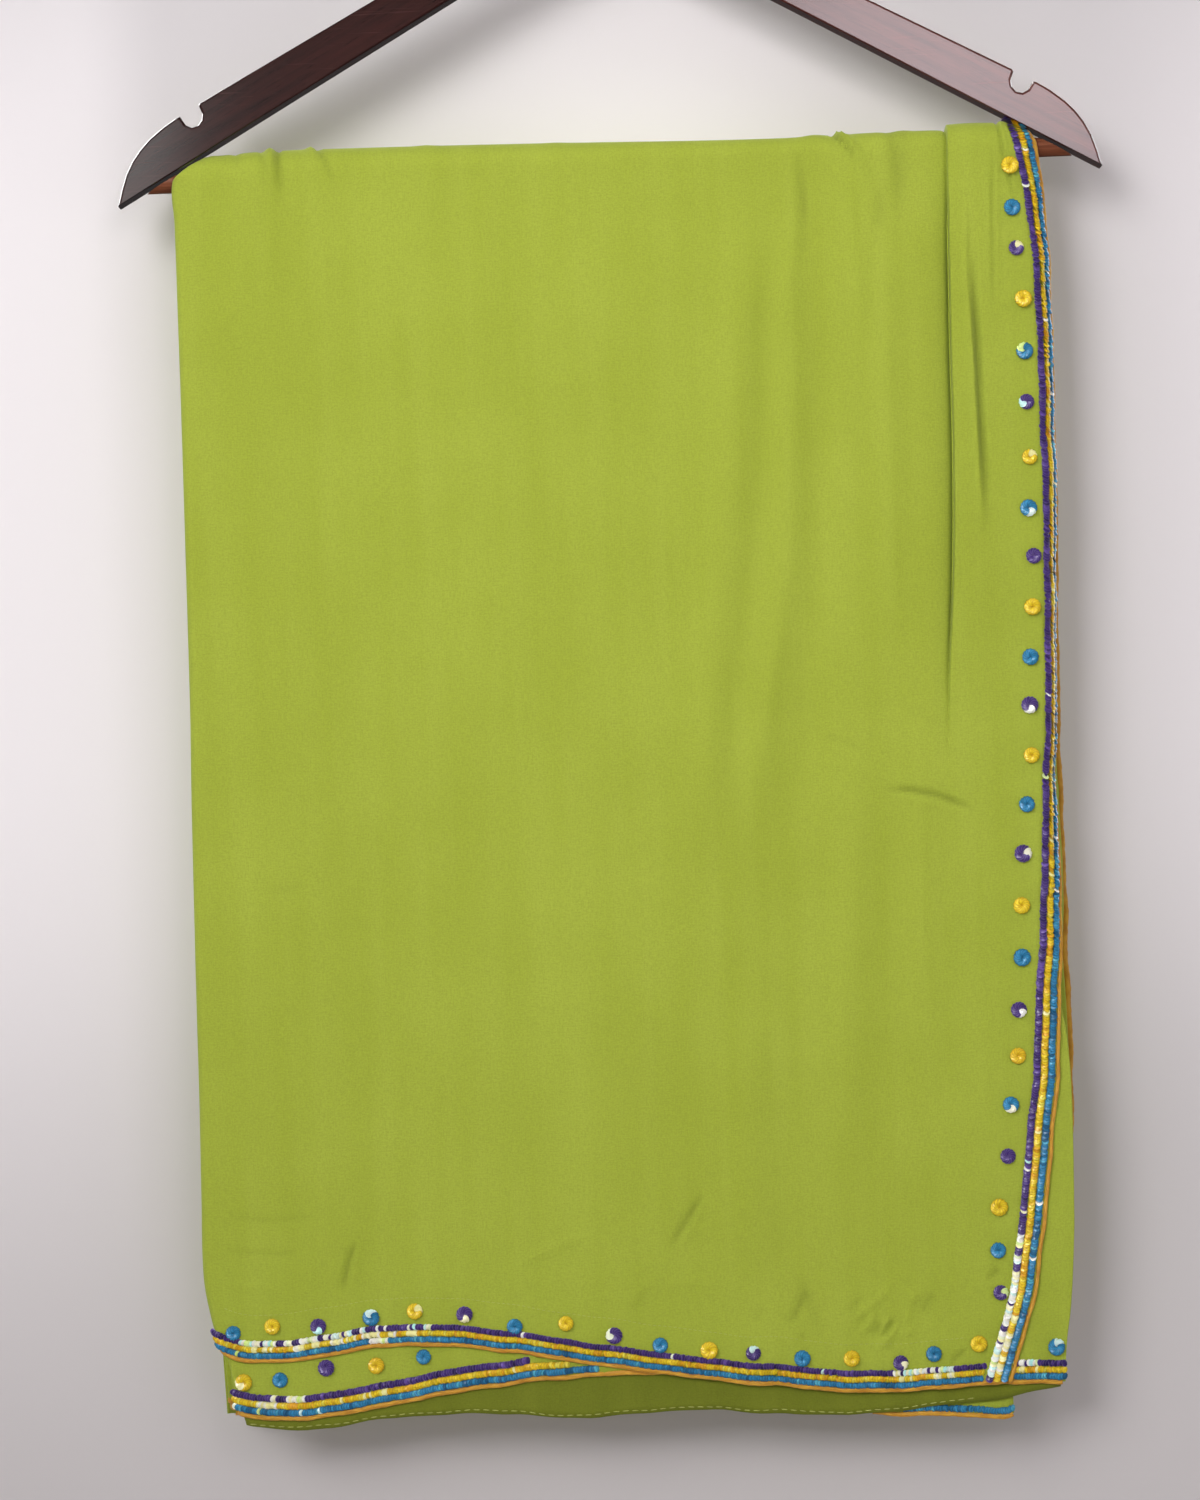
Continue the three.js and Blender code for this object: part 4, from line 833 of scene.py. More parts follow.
# ------------------------------------------------------------------------------ node trees
class Wire:
    """One output of a node; arithmetic on it adds Math nodes."""

    def __init__(self, bench: "Bench", socket: bpy.types.NodeSocket) -> None:
        """Wraps a socket of a bench's tree."""
        self.bench = bench
        self.socket = socket

    def math(self, operation: str, *others: "Wire | float") -> "Wire":
        """Adds a Math node whose first value is this wire.

        Args:
            operation: The Math node's operation.
            others: The values of its further sockets.

        Returns:
            The node's value.
        """
        sockets = dict(enumerate((self, *others)))
        return self.bench.node("ShaderNodeMath", {"operation": operation}, sockets).out(0)

    def __add__(self, other: "Wire | float") -> "Wire":
        """Sum."""
        return self.math("ADD", other)

    __radd__ = __add__

    def __mul__(self, other: "Wire | float") -> "Wire":
        """Product."""
        return self.math("MULTIPLY", other)

    def __sub__(self, other: "Wire | float") -> "Wire":
        """Difference."""
        return self.math("SUBTRACT", other)

    def __rsub__(self, other: "Wire | float") -> "Wire":
        """Difference, this wire taken away."""
        return self.bench.node("ShaderNodeMath", {"operation": "SUBTRACT"}, {0: other, 1: self}).out(0)

    def __truediv__(self, other: "Wire | float") -> "Wire":
        """Quotient."""
        return self.math("DIVIDE", other)

    def __neg__(self) -> "Wire":
        """Negative."""
        return self.math("MULTIPLY", -1.0)

    def sine(self) -> "Wire":
        """Sine of the wire, in radians."""
        return self.math("SINE")

    def above(self, limit: "Wire | float") -> "Wire":
        """1 where the wire is greater than the limit, otherwise 0."""
        return self.math("GREATER_THAN", limit)

    def between(self, low: float, high: float) -> "Wire":
        """The wire brought from low..high to 0..1, smoothly and clamped."""
        settings = {"interpolation_type": "SMOOTHSTEP"}
        return self.bench.node("ShaderNodeMapRange", settings, {0: self, 1: low, 2: high}).out(0)


class Placed:
    """A node that has been put in a tree."""

    def __init__(self, bench: "Bench", node: bpy.types.Node) -> None:
        """Wraps a node of a bench's tree."""
        self.bench = bench
        self.node = node

    def out(self, key: int | str = 0) -> Wire:
        """The wire from one of the node's outputs."""
        return Wire(self.bench, self.node.outputs[key])


class Bench:
    """A node tree being filled, for a material or for geometry."""

    def __init__(self, tree: bpy.types.NodeTree) -> None:
        """Starts from an empty tree."""
        self.tree = tree
        tree.nodes.clear()

    def node(self, kind: str, settings: dict | None = None, sockets: dict | None = None) -> Placed:
        """Adds any node.

        Args:
            kind: The node's type name.
            settings: Its properties, set first; "stops" fills a colour ramp.
            sockets: Values or wires for its inputs, by name or number.

        Returns:
            The node.
        """
        made = self.tree.nodes.new(kind)
        for key, value in (settings or {}).items():
            if key == "stops":
                ramp = made.color_ramp
                while len(ramp.elements) < len(value):
                    ramp.elements.new(0.5)
                for element, (at, colour) in zip(ramp.elements, value):
                    element.position, element.color = at, (*colour, 1.0)
            else:
                setattr(made, key, value)
        for key, value in (sockets or {}).items():
            if isinstance(value, Wire):
                self.tree.links.new(value.socket, made.inputs[key])
            else:
                made.inputs[key].default_value = value
        return Placed(self, made)

    def mix(self, share: Wire | float, first: Wire | tuple, second: Wire | tuple) -> Wire:
        """Mixes two colours.

        Args:
            share: How much of the second, from 0 to 1.
            first: Colour or wire.
            second: Colour or wire.

        Returns:
            The mixed colour.
        """
        first, second = (part if isinstance(part, Wire) else (*part, 1.0) for part in (first, second))
        return self.node("ShaderNodeMix", {"data_type": "RGBA"}, {0: share, 6: first, 7: second}).out(2)

    def joined(self, *parts: Wire | float) -> Wire:
        """A vector made of its three parts."""
        return self.node("ShaderNodeCombineXYZ", None, dict(enumerate(parts))).out(0)

    def split(self, vector: Wire) -> tuple[Wire, Wire, Wire]:
        """The three parts of a vector."""
        made = self.node("ShaderNodeSeparateXYZ", None, {0: vector})
        return made.out(0), made.out(1), made.out(2)

    def scaled(self, vector: Wire, scale: tuple[float, float, float]) -> Wire:
        """A vector with each part multiplied."""
        return self.node("ShaderNodeVectorMath", {"operation": "MULTIPLY"}, {0: vector, 1: scale}).out(0)

    def noise(self, vector: Wire, scale: float, detail: float = 2.0, rough: float = 0.5) -> Wire:
        """Soft noise from 0 to 1.

        Args:
            vector: Where it is read.
            scale: Lumps in a unit of the vector.
            detail: Levels of finer noise.
            rough: Strength of the finer levels.

        Returns:
            The noise value.
        """
        sockets = {"Vector": vector, "Scale": scale, "Detail": detail, "Roughness": rough}
        return self.node("ShaderNodeTexNoise", None, sockets).out(0)

    def streaks(self, vector: Wire, scale: tuple, detail: float, rough: float = 0.5) -> Wire:
        """Noise with its own number of lumps in a unit of each part of the vector."""
        return self.noise(self.scaled(vector, scale), 1.0, detail, rough)

    def ramp(self, value: Wire, stops: Sequence[tuple[float, tuple]]) -> Wire:
        """Colour of a ramp at a value."""
        return self.node("ShaderNodeValToRGB", {"stops": stops}, {0: value}).out(0)

    def bump(self, height: Wire, distance: float, strength: float = 1.0, under: Wire | None = None) -> Wire:
        """Normal of a surface raised by a height.

        Args:
            height: Height from 0 to 1.
            distance: Metres that a height of 1 stands for.
            strength: How much of it is used.
            under: Normal of a coarser bump below it.

        Returns:
            The normal.
        """
        sockets = {"Height": height, "Distance": distance, "Strength": strength}
        if under is not None:
            sockets["Normal"] = under
        return self.node("ShaderNodeBump", None, sockets).out(0)

    def attribute(self, name: str) -> Wire:
        """Number that each vertex carries under a name."""
        return self.node("ShaderNodeAttribute", {"attribute_name": name}).out("Fac")

    def place(self) -> Wire:
        """Place on the object, in metres."""
        return self.node("ShaderNodeTexCoord").out("Object")

    def lay(self) -> Wire:
        """Place on the flat cloth, in metres."""
        return self.node("ShaderNodeUVMap", {"uv_map": "lay"}).out(0)


def srgb(red: int, green: int, blue: int) -> RGB:
    """Linear colour of screen values from 0 to 255."""
    parts = (part / 255 for part in (red, green, blue))
    return tuple(part / 12.92 if part <= 0.04045 else ((part + 0.055) / 1.055) ** 2.4 for part in parts)


def surfaced(name: str, fill: Callable[[Bench], Placed]) -> Paint:
    """Makes a material.

    Args:
        name: Name of the material.
        fill: Adds the nodes and returns the shader of the surface.

    Returns:
        The material.
    """
    made = bpy.data.materials.new(name)
    made.use_nodes = True
    bench = Bench(made.node_tree)
    bench.node("ShaderNodeOutputMaterial", None, {"Surface": fill(bench).out(0)})
    return made


def toned(colour: RGB, share: float, lift: float = 0.0) -> RGB:
    """A colour made darker or brighter, then lifted."""
    return tuple(share * part + lift for part in colour)


# -------------------------------------------------------------------------------- finishes
@dataclass(frozen=True)
class Finish:
    """A finish made from nodes.

    Attributes:
        name: Name of the material.
    """

    name: str

    def make(self) -> Paint:
        """Makes the material."""
        return surfaced(
            self.name, lambda bench: bench.node("ShaderNodeBsdfPrincipled", None, self.fill(bench))
        )

    def fill(self, bench: Bench) -> dict:
        """Adds the nodes and gives the values and wires of the main shader."""
        raise NotImplementedError


@dataclass(frozen=True)
class ClothFinish(Finish):
    """Thin plain-woven crepe: pebbled, with slubs both ways and a slow mottle, and painted shade in its
    narrow creases.

    Attributes:
        deep: Colour where the mottle is darkest; the painted crease shade is a darker tone of it.
        light: Colour where it is palest.
        sheen: Strength of the nap's sheen.
    """

    deep: RGB
    light: RGB
    sheen: float

    def fill(self, bench: Bench) -> dict:
        """Nodes and sockets of the cloth's shader."""
        place, lay = bench.place(), bench.lay()
        mottle = bench.noise(place, 16, 2, 0.6)
        warp = bench.streaks(lay, (2300.0, 210.0, 1.0), 1)
        weft = bench.streaks(lay, (190.0, 2300.0, 1.0), 1)
        pebble = bench.noise(place, 1500, 1, 0.6)
        streak = bench.streaks(lay, (70.0, 4.0, 1.0), 2, 0.6)
        tone = mottle * 0.35 + streak * 0.35 + (warp + weft) * 0.15
        colour = bench.mix(tone.between(0.34, 0.66), self.deep, self.light)
        fleck = bench.streaks(lay, (760.0, 1250.0, 1.0), 2, 0.75)
        grain = (pebble * 0.2 + warp * 0.25 + weft * 0.2 + fleck * 0.35).between(0.36, 0.64)
        colour = bench.mix(grain * 0.4, colour, toned(self.deep, 0.5))
        # painted shade: narrow creases and the tuck's groove are painted darker
        colour = bench.mix(bench.attribute("hollow") * 0.62, colour, toned(self.deep, 0.3))
        crumple = bench.bump(bench.noise(place, 42, 2, 0.55), 0.0011, 0.5)
        crinkle = bench.streaks(lay, (620.0, 950.0, 1.0), 2, 0.7)
        surface = pebble * 0.4 + (warp + weft) * 0.3 + crinkle * 0.8
        return {
            "Base Color": colour,
            "Roughness": 0.78 + pebble * 0.14,
            "Sheen Weight": self.sheen,
            "Sheen Roughness": 0.45,
            "Sheen Tint": (0.8, 0.9, 0.5, 1.0),
            "Specular IOR Level": 0.3,
            "Normal": bench.bump(surface, 0.00022, 0.7, crumple),
        }


@dataclass(frozen=True)
class PipingFinish(Finish):
    """Ochre satin cut on the bias and rolled over the edge.

    Attributes:
        deep: Colour of the darker patches.
        light: Colour of the paler ones.
    """

    deep: RGB
    light: RGB

    def fill(self, bench: Bench) -> dict:
        """Nodes and sockets of the piping's shader."""
        place, lay = bench.place(), bench.lay()
        along, across, _ = bench.split(lay)
        rib = ((along * 7000.0 + across * 9000.0).sine() * 0.5 + 0.5) * 0.7
        rib = rib + bench.noise(place, 1900, 1) * 0.3
        soft = bench.streaks(lay, (150.0, 500.0, 1.0), 3, 0.6)
        colour = bench.mix(soft.between(0.3, 0.7), self.deep, self.light)
        return {
            "Base Color": bench.mix(rib * 0.22, colour, toned(self.deep, 0.5)),
            "Roughness": 0.42 + soft * 0.16,
            "Sheen Weight": 0.2,
            "Normal": bench.bump(rib, 0.00012, 0.5, bench.bump(soft, 0.0005, 0.6)),
        }


@dataclass(frozen=True)
class SequinFinish(Finish):
    """Glossy cupped sequins that vary a little in colour; the few that glint have painted highlights in
    their colour.

    Attributes:
        deep: Darkest colour.
        plain: Usual colour.
        bright: Brightest colour.
        glints: Pale colours painted on the ones that glint, as painted highlights.
        edge: Colour painted on each sequin's rim: painted shade where the sequins overlap, or a painted
            highlight where it is paler.
    """

    deep: RGB
    plain: RGB
    bright: RGB
    glints: tuple[RGB, ...]
    edge: RGB

    def fill(self, bench: Bench) -> dict:
        """Nodes and sockets of the sequins' shader."""
        shade = bench.attribute("shade")
        glint = bench.attribute("glint").above(0.5) * bench.attribute("petal").math("LESS_THAN", 0.2)
        stops = ((0.0, self.deep), (0.45, self.plain), (0.8, self.plain), (1.0, self.bright))
        body = bench.ramp(shade, stops)
        # the sequins that glint get a painted highlight: their colour is swapped for one of the pale colours
        # picked here
        pick = (shade * 37.0).math("FRACT")
        count = len(self.glints)
        glint_paint = bench.ramp(pick, tuple((n / count, colour) for n, colour in enumerate(self.glints)))
        film = bench.noise(bench.place(), 900, 2)
        body = bench.mix(film.between(0.35, 0.75) * 0.3, body, toned(self.deep, 0.45))
        # the rims get painted shade, or on the purple sequins a paler painted highlight
        rim = bench.attribute("rim").between(0.78, 0.98)
        body = bench.mix(rim * 0.55, body, self.edge)
        return {
            "Base Color": bench.mix(glint, body, glint_paint),
            "Roughness": 0.34 - glint * 0.1 + film * 0.1,
            "Metallic": 0.12 - glint * 0.1,
            "Coat Weight": 0.35 + glint * 0.5,
            "Coat Roughness": 0.12,
            "Normal": bench.bump(film, 0.0002, 0.4),
        }


@dataclass(frozen=True)
class WoodFinish(Finish):
    """Stained and lacquered wood with its grain along a slope.

    Attributes:
        deep: Colour of the dark grain.
        light: Colour between.
        slope: Angle of the grain from level, in radians.
        coat: Weight of the lacquer.
        coat_roughness: Roughness of the lacquer.
        worn: How much the handling scratches show.
    """

    deep: RGB
    light: RGB
    slope: float
    coat: float
    coat_roughness: float
    worn: float

    def fill(self, bench: Bench) -> dict:
        """Nodes and sockets of the wood's shader."""
        sockets = {"Vector": bench.place(), "Rotation": (0.0, self.slope, 0.0)}
        turned_place = bench.node("ShaderNodeMapping", None, sockets).out(0)
        bend = bench.streaks(turned_place, (9.0, 60.0, 60.0), 2)
        lines = bench.streaks(turned_place, (14.0, 420.0, 420.0), 4, 0.65)
        pores = bench.streaks(turned_place, (110.0, 2600.0, 2600.0), 2, 0.6)
        figure = (lines * 0.65 + bend * 0.35).between(0.32, 0.68)
        colour = bench.mix(figure, self.deep, self.light)
        colour = bench.mix(pores.between(0.56, 0.74) * 0.5, colour, toned(self.deep, 0.35))
        scratch = bench.streaks(bench.place(), (26.0, 300.0, 1500.0), 3, 0.6)
        marks = scratch.between(0.6, 0.75) * self.worn
        colour = bench.mix(marks * 0.35, colour, toned(self.light, 2.4, 0.03))
        return {
            "Base Color": colour,
            "Roughness": 0.42 + pores * 0.12,
            "Specular IOR Level": 0.06,
            "Coat Weight": self.coat - marks * 0.3 * self.coat,
            "Coat Roughness": self.coat_roughness,
            "Normal": bench.bump(pores * 0.6 + scratch * 0.4, 0.00006, 0.5),
        }


@dataclass(frozen=True)
class SteelFinish(Finish):
    """Plated steel wire with fine marks along it."""

    def fill(self, bench: Bench) -> dict:
        """Nodes and sockets of the wire's shader."""
        smear = bench.noise(bench.place(), 160, 3, 0.6)
        marks = bench.streaks(bench.place(), (300.0, 2500.0, 300.0), 2)
        return {
            "Base Color": bench.mix(smear, srgb(188, 189, 192), srgb(214, 214, 213)),
            "Metallic": 1.0,
            "Roughness": 0.16 + smear * 0.14 + marks * 0.06,
            "Normal": bench.bump(marks, 0.00004, 0.3),
        }


@dataclass(frozen=True)
class ThreadFinish(Finish):
    """Twisted sewing thread.

    Attributes:
        deep: Darker colour of the thread.
        light: Paler colour of it.
    """

    deep: RGB
    light: RGB

    def fill(self, bench: Bench) -> dict:
        """Nodes and sockets of the thread's shader."""
        place = bench.place()
        x, _, z = bench.split(place)
        ply = (x * 9000.0 + z * 9000.0).sine() * 0.5 + 0.5
        return {
            "Base Color": bench.mix(bench.noise(place, 260, 2), self.deep, self.light),
            "Roughness": 0.55,
            "Sheen Weight": 0.3,
            "Normal": bench.bump(ply, 0.0001, 0.5),
        }


# Colours painted on the sequins that glint, as painted highlights.
WHITE, PALE_YELLOW, PALE_CYAN = (1.0, 1.0, 0.94), (1.0, 0.96, 0.42), (0.5, 0.95, 0.92)
LIME = (0.72, 0.95, 0.22)


class Colour(Enum):
    """The three colours of sequins, in from the edge."""

    BLUE = "blue"
    YELLOW = "yellow"
    PURPLE = "purple"


class Finishes:
    """Every finish of the saree and its hanger."""

    ARM_SLOPE = 0.552  # rise of the arms over their run

    def __init__(self) -> None:
        """Makes the materials."""
        self.cloth = ClothFinish("crepe", srgb(162, 177, 55), srgb(172, 187, 66), 0.25).make()
        # the wrong side's own duller green, painted darker as painted shade for the shadow it lies in
        shadow = (srgb(112, 122, 26), srgb(126, 136, 36))
        self.wrong_side = ClothFinish("crepe_wrong_side", *shadow, 0.12).make()
        self.piping = PipingFinish("bias_satin", srgb(196, 134, 22), srgb(228, 172, 48)).make()
        self.stitch = ThreadFinish("running_thread", srgb(158, 166, 66), srgb(190, 196, 104)).make()
        self.tonal = ThreadFinish("tonal_thread", srgb(158, 168, 60), srgb(176, 185, 78)).make()
        glints = (WHITE, PALE_YELLOW, WHITE, PALE_CYAN, WHITE, LIME, WHITE)
        yellow_glint_paints = (WHITE, PALE_YELLOW, PALE_YELLOW)
        # per colour: darkest, usual and brightest tone, the colours of its painted highlights, and the
        # colour painted on its rims as painted shade, or on the purple ones as a painted highlight
        tones = {
            Colour.PURPLE: ((44, 26, 92), (72, 46, 128), (112, 84, 176), glints, (134, 116, 172)),
            Colour.YELLOW: ((244, 182, 32), (250, 222, 38), (252, 244, 92), yellow_glint_paints, (190, 132, 22)),
            Colour.BLUE: ((34, 104, 148), (56, 152, 202), (98, 198, 224), glints, (14, 52, 84)),
        }
        self.sequins = {
            colour: SequinFinish(
                f"sequin_{colour.value}", srgb(*deep), srgb(*plain), srgb(*bright), shine, srgb(*edge)
            ).make()
            for colour, (deep, plain, bright, shine, edge) in tones.items()
        }
        slope = math.atan(self.ARM_SLOPE)
        # one stained wood in two copies: the left arm's painted darker as painted shade, the right arm's
        # painted lighter for the light it reflects
        arm = (srgb(34, 12, 10), srgb(56, 24, 20))
        self.arm_left = WoodFinish("stained_wood_left", *arm, slope, 1.0, 0.1, 1.0).make()
        arm = (srgb(66, 30, 27), srgb(100, 50, 43))
        self.arm_right = WoodFinish("stained_wood_right", *arm, -slope, 1.0, 0.12, 0.6).make()
        self.bar = WoodFinish("bar_wood", srgb(96, 50, 32), srgb(146, 88, 60), 0.0, 0.35, 0.22, 0.4).make()
        self.steel = SteelFinish("plated_wire").make()


# -------------------------------------------------------------------------- geometry trees
class Repeat:
    """A geometry node tree that sets shapes on guide points, with named inputs."""

    def __init__(self, name: str, inputs: dict[str, str]) -> None:
        """Makes the tree and its inputs.

        Args:
            name: Name of the tree.
            inputs: Socket type of each input, beside those that every tree has.
        """
        self.tree = bpy.data.node_groups.new(name, "GeometryNodeTree")
        self.bench = Bench(self.tree)
        self.keys: dict[str, str] = {}
        face = self.tree.interface
        face.new_socket("Guide", in_out="INPUT", socket_type="NodeSocketGeometry")
        for label, kind in {**inputs, "Sides": "Int", "Seed": "Int", "Finish": "Material"}.items():
            socket = face.new_socket(label, in_out="INPUT", socket_type=f"NodeSocket{kind}")
            self.keys[label] = socket.identifier
        face.new_socket("Geometry", in_out="OUTPUT", socket_type="NodeSocketGeometry")
        self.entry = self.bench.node("NodeGroupInput")

    def given(self, label: str) -> Wire:
        """The wire of a named input."""
        return self.entry.out(label)

    def named(self, label: str) -> Wire:
        """A vector that each guide point carries."""
        settings = {"data_type": "FLOAT_VECTOR"}
        return self.bench.node("GeometryNodeInputNamedAttribute", settings, {"Name": label}).out(0)

    def random(self, low: Wire | float, high: Wire | float, offset: int) -> Wire:
        """A random number for each point, from the tree's seed and an offset."""
        sockets = {2: low, 3: high, "Seed": self.given("Seed") + float(offset)}
        return self.bench.node("FunctionNodeRandomValue", {"data_type": "FLOAT"}, sockets).out(1)

    def leaned(self, up: Wire | tuple, ahead: Wire | tuple, turns: tuple) -> Wire:
        """A rotation that faces up and ahead, then turns about its own axes.

        Args:
            up: Direction of the shape's Z.
            ahead: Direction of the shape's X.
            turns: Angles about its own X, Y and Z.

        Returns:
            The rotation.
        """
        bench = self.bench
        settings = {"primary_axis": "Z", "secondary_axis": "X"}
        facing = bench.node("FunctionNodeAxesToRotation", settings, {0: up, 1: ahead}).out(0)
        lean = bench.node("FunctionNodeEulerToRotation", None, {0: bench.joined(*turns)}).out(0)
        settings = {"rotation_space": "LOCAL"}
        return bench.node("FunctionNodeRotateRotation", settings, {0: facing, 1: lean}).out(0)

    def stored(self, geometry: Wire, domain: str, name: str, value: Wire) -> Wire:
        """Geometry that carries a number under a name."""
        settings = {"data_type": "FLOAT", "domain": domain}
        sockets = {"Geometry": geometry, "Name": name, "Value": value}
        return self.bench.node("GeometryNodeStoreNamedAttribute", settings, sockets).out(0)

    def cupped(self, diameter: Wire, dome: Wire) -> Wire:
        """A closed cupped disc whose corners know how far out they lie.

        Args:
            diameter: Width of the disc.
            dome: Its height.

        Returns:
            The disc, a low cone whose top is cut off.
        """
        sockets = {
            "Vertices": self.given("Sides"),
            "Side Segments": 1,
            "Fill Segments": 1,
            "Radius Top": diameter * 0.24,
            "Radius Bottom": diameter * 0.5,
            "Depth": dome,
        }
        disc = self.bench.node("GeometryNodeMeshCone", {"fill_type": "TRIANGLE_FAN"}, sockets).out(0)
        out = self.bench.scaled(self.bench.node("GeometryNodeInputPosition").out(0), (1.0, 1.0, 0.0))
        reach = self.bench.node("ShaderNodeVectorMath", {"operation": "LENGTH"}, {0: out}).out("Value")
        return self.stored(disc, "POINT", "rim", reach * 2.0 / diameter)

    def scattered(self, points: Wire, shape: Wire, rotation: Wire, scale: Wire | float) -> Wire:
        """Instances of a shape on points."""
        sockets = {"Points": points, "Instance": shape, "Rotation": rotation, "Scale": scale}
        if not isinstance(scale, Wire):
            sockets["Scale"] = (scale, scale, scale)
        return self.bench.node("GeometryNodeInstanceOnPoints", None, sockets).out(0)

    def finish(self, geometry: Wire) -> None:
        """Realizes the instances, sets the finish and ends the tree."""
        bench = self.bench
        real = bench.node("GeometryNodeRealizeInstances", None, {0: geometry}).out(0)
        sockets = {"Geometry": real, "Shade Smooth": False}
        flat = bench.node("GeometryNodeSetShadeSmooth", None, sockets).out(0)
        sockets = {"Geometry": flat, "Material": self.given("Finish")}
        dressed = bench.node("GeometryNodeSetMaterial", None, sockets)
        bench.node("NodeGroupOutput", None, {0: dressed.out(0)})

    def make(self, name: str, guide: Piece, values: dict[str, object]) -> Piece:
        """Runs the tree on guide points and keeps the result as a plain mesh.

        Args:
            name: Name of the piece.
            guide: Object of loose points; it is used up.
            values: Values of the named inputs.

        Returns:
            The piece.
        """
        modifier = guide.modifiers.new(name, "NODES")
        modifier.node_group = self.tree
        for label, value in values.items():
            modifier[self.keys[label]] = value
        graph = bpy.context.evaluated_depsgraph_get()
        mesh = bpy.data.meshes.new_from_object(
            guide.evaluated_get(graph), preserve_all_data_layers=True, depsgraph=graph
        )
        guide.modifiers.clear()
        bpy.data.objects.remove(guide)
        mesh.name = name
        return linked(name, mesh)


def sequin_tree() -> Repeat:
    """The tree that lays overlapping sequins along a line of guide points."""
    tree = Repeat("sequin_row", dict.fromkeys(("Diameter", "Dome", "Tilt", "Scatter"), "Float"))
    scatter = tree.given("Scatter")
    turns = (
        tree.random(-scatter, scatter, 1),
        tree.given("Tilt") + tree.random(-scatter, scatter, 2),
        tree.random(-0.5, 0.5, 3),
    )
    rotation = tree.leaned(tree.named("outward"), tree.named("along"), turns)
    size = tree.random(0.94, 1.06, 4)
    scale = tree.bench.joined(size, size, 1.0)
    shape = tree.cupped(tree.given("Diameter"), tree.given("Dome"))
    tree.finish(tree.scattered(tree.entry.out("Guide"), shape, rotation, scale))
    return tree


def rosette_tree() -> Repeat:
    """The tree that sets a rosette of upright, overlapping sequins on each guide point."""
    measures = dict.fromkeys(("Ring", "Diameter", "Dome", "Lean", "Lift"), "Float")
    tree = Repeat("rosette", {"Petals": "Int", **measures})
    bench = tree.bench
    sockets = {"Vertices": tree.given("Petals"), "Radius": tree.given("Ring")}
    ring = bench.node("GeometryNodeMeshCircle", None, sockets)
    radial = bench.node("GeometryNodeInputPosition").out(0)
    turns = (tree.given("Lean") + tree.random(-0.16, 0.16, 1), tree.random(-0.12, 0.12, 2), 0.0)
    petal = tree.cupped(tree.given("Diameter"), tree.given("Dome"))
    rotation = tree.leaned((0.0, 0.0, 1.0), radial, turns)
    petals = tree.scattered(ring.out(0), petal, rotation, 1.0)
    number = bench.node("GeometryNodeInputIndex").out(0) / tree.given("Petals")
    petals = tree.stored(petals, "INSTANCE", "petal", number)
    whole = bench.node("GeometryNodeRealizeInstances", None, {0: petals}).out(0)
    lift = bench.joined(0.0, 0.0, tree.given("Lift"))
    whole = bench.node("GeometryNodeTransform", None, {"Geometry": whole, "Translation": lift}).out(0)
    spin = (tree.random(-0.1, 0.1, 5), tree.random(-0.1, 0.1, 6), tree.random(-math.pi, math.pi, 7))
    facing = tree.leaned(tree.named("outward"), tree.named("along"), spin)
    size = tree.random(0.9, 1.08, 8)
    scale = bench.joined(size, size, size)
    tree.finish(tree.scattered(tree.entry.out("Guide"), whole, facing, scale))
    return tree


def stitch_tree() -> Repeat:
    """The tree that sets a running stitch on each guide point."""
    tree = Repeat("running_stitch", {"Length": "Float", "Width": "Float"})
    bench = tree.bench
    sockets = {"Segments": tree.given("Sides"), "Rings": 6, "Radius": 0.5}
    bead = bench.node("GeometryNodeMeshUVSphere", None, sockets)
    scale = bench.joined(tree.given("Length"), tree.given("Width"), tree.given("Width"))
    thread = bench.node("GeometryNodeTransform", None, {"Geometry": bead.out(0), "Scale": scale}).out(0)
    turns = (0.0, tree.random(-0.04, 0.04, 1), tree.random(-0.07, 0.07, 2))
    rotation = tree.leaned(tree.named("outward"), tree.named("along"), turns)
    tree.finish(tree.scattered(tree.entry.out("Guide"), thread, rotation, 1.0))
    return tree


def settle(piece: Piece, slot: str, finish: Paint, *nodes: str) -> Piece:
    """Dresses a piece and hands it to the frame.

    Args:
        piece: The piece, in place.
        slot: Material slot of the record; not used.
        finish: Its material.
        nodes: Solids that it stands for.

    Returns:
        The piece.
    """
    if not piece.data.materials:
        piece.data.materials.append(finish)
    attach(piece, BODY)
    if nodes:
        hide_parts(*nodes)
    LOG.info("%s: %d faces", piece.name, len(piece.data.polygons))
    return piece


# ------------------------------------------------------------------------------ the cloth
def spaced(start: float, end: float, count: int) -> Array:
    """Evenly spaced shares, without the last."""
    return np.linspace(start, end, count, endpoint=False)


def stretches(counts: Sequence[int]) -> tuple[Array, Array]:
    """Splits a row into stretches of given counts of columns.

    Args:
        counts: Columns in each stretch.

    Returns:
        Which stretch each column lies in, and its share of that stretch.
    """
    segment = np.concatenate([np.full(count, n) for n, count in enumerate(counts)] + [[len(counts) - 1]])
    share = np.concatenate([spaced(0, 1, count) for count in counts] + [[1.0]])
    return segment, share


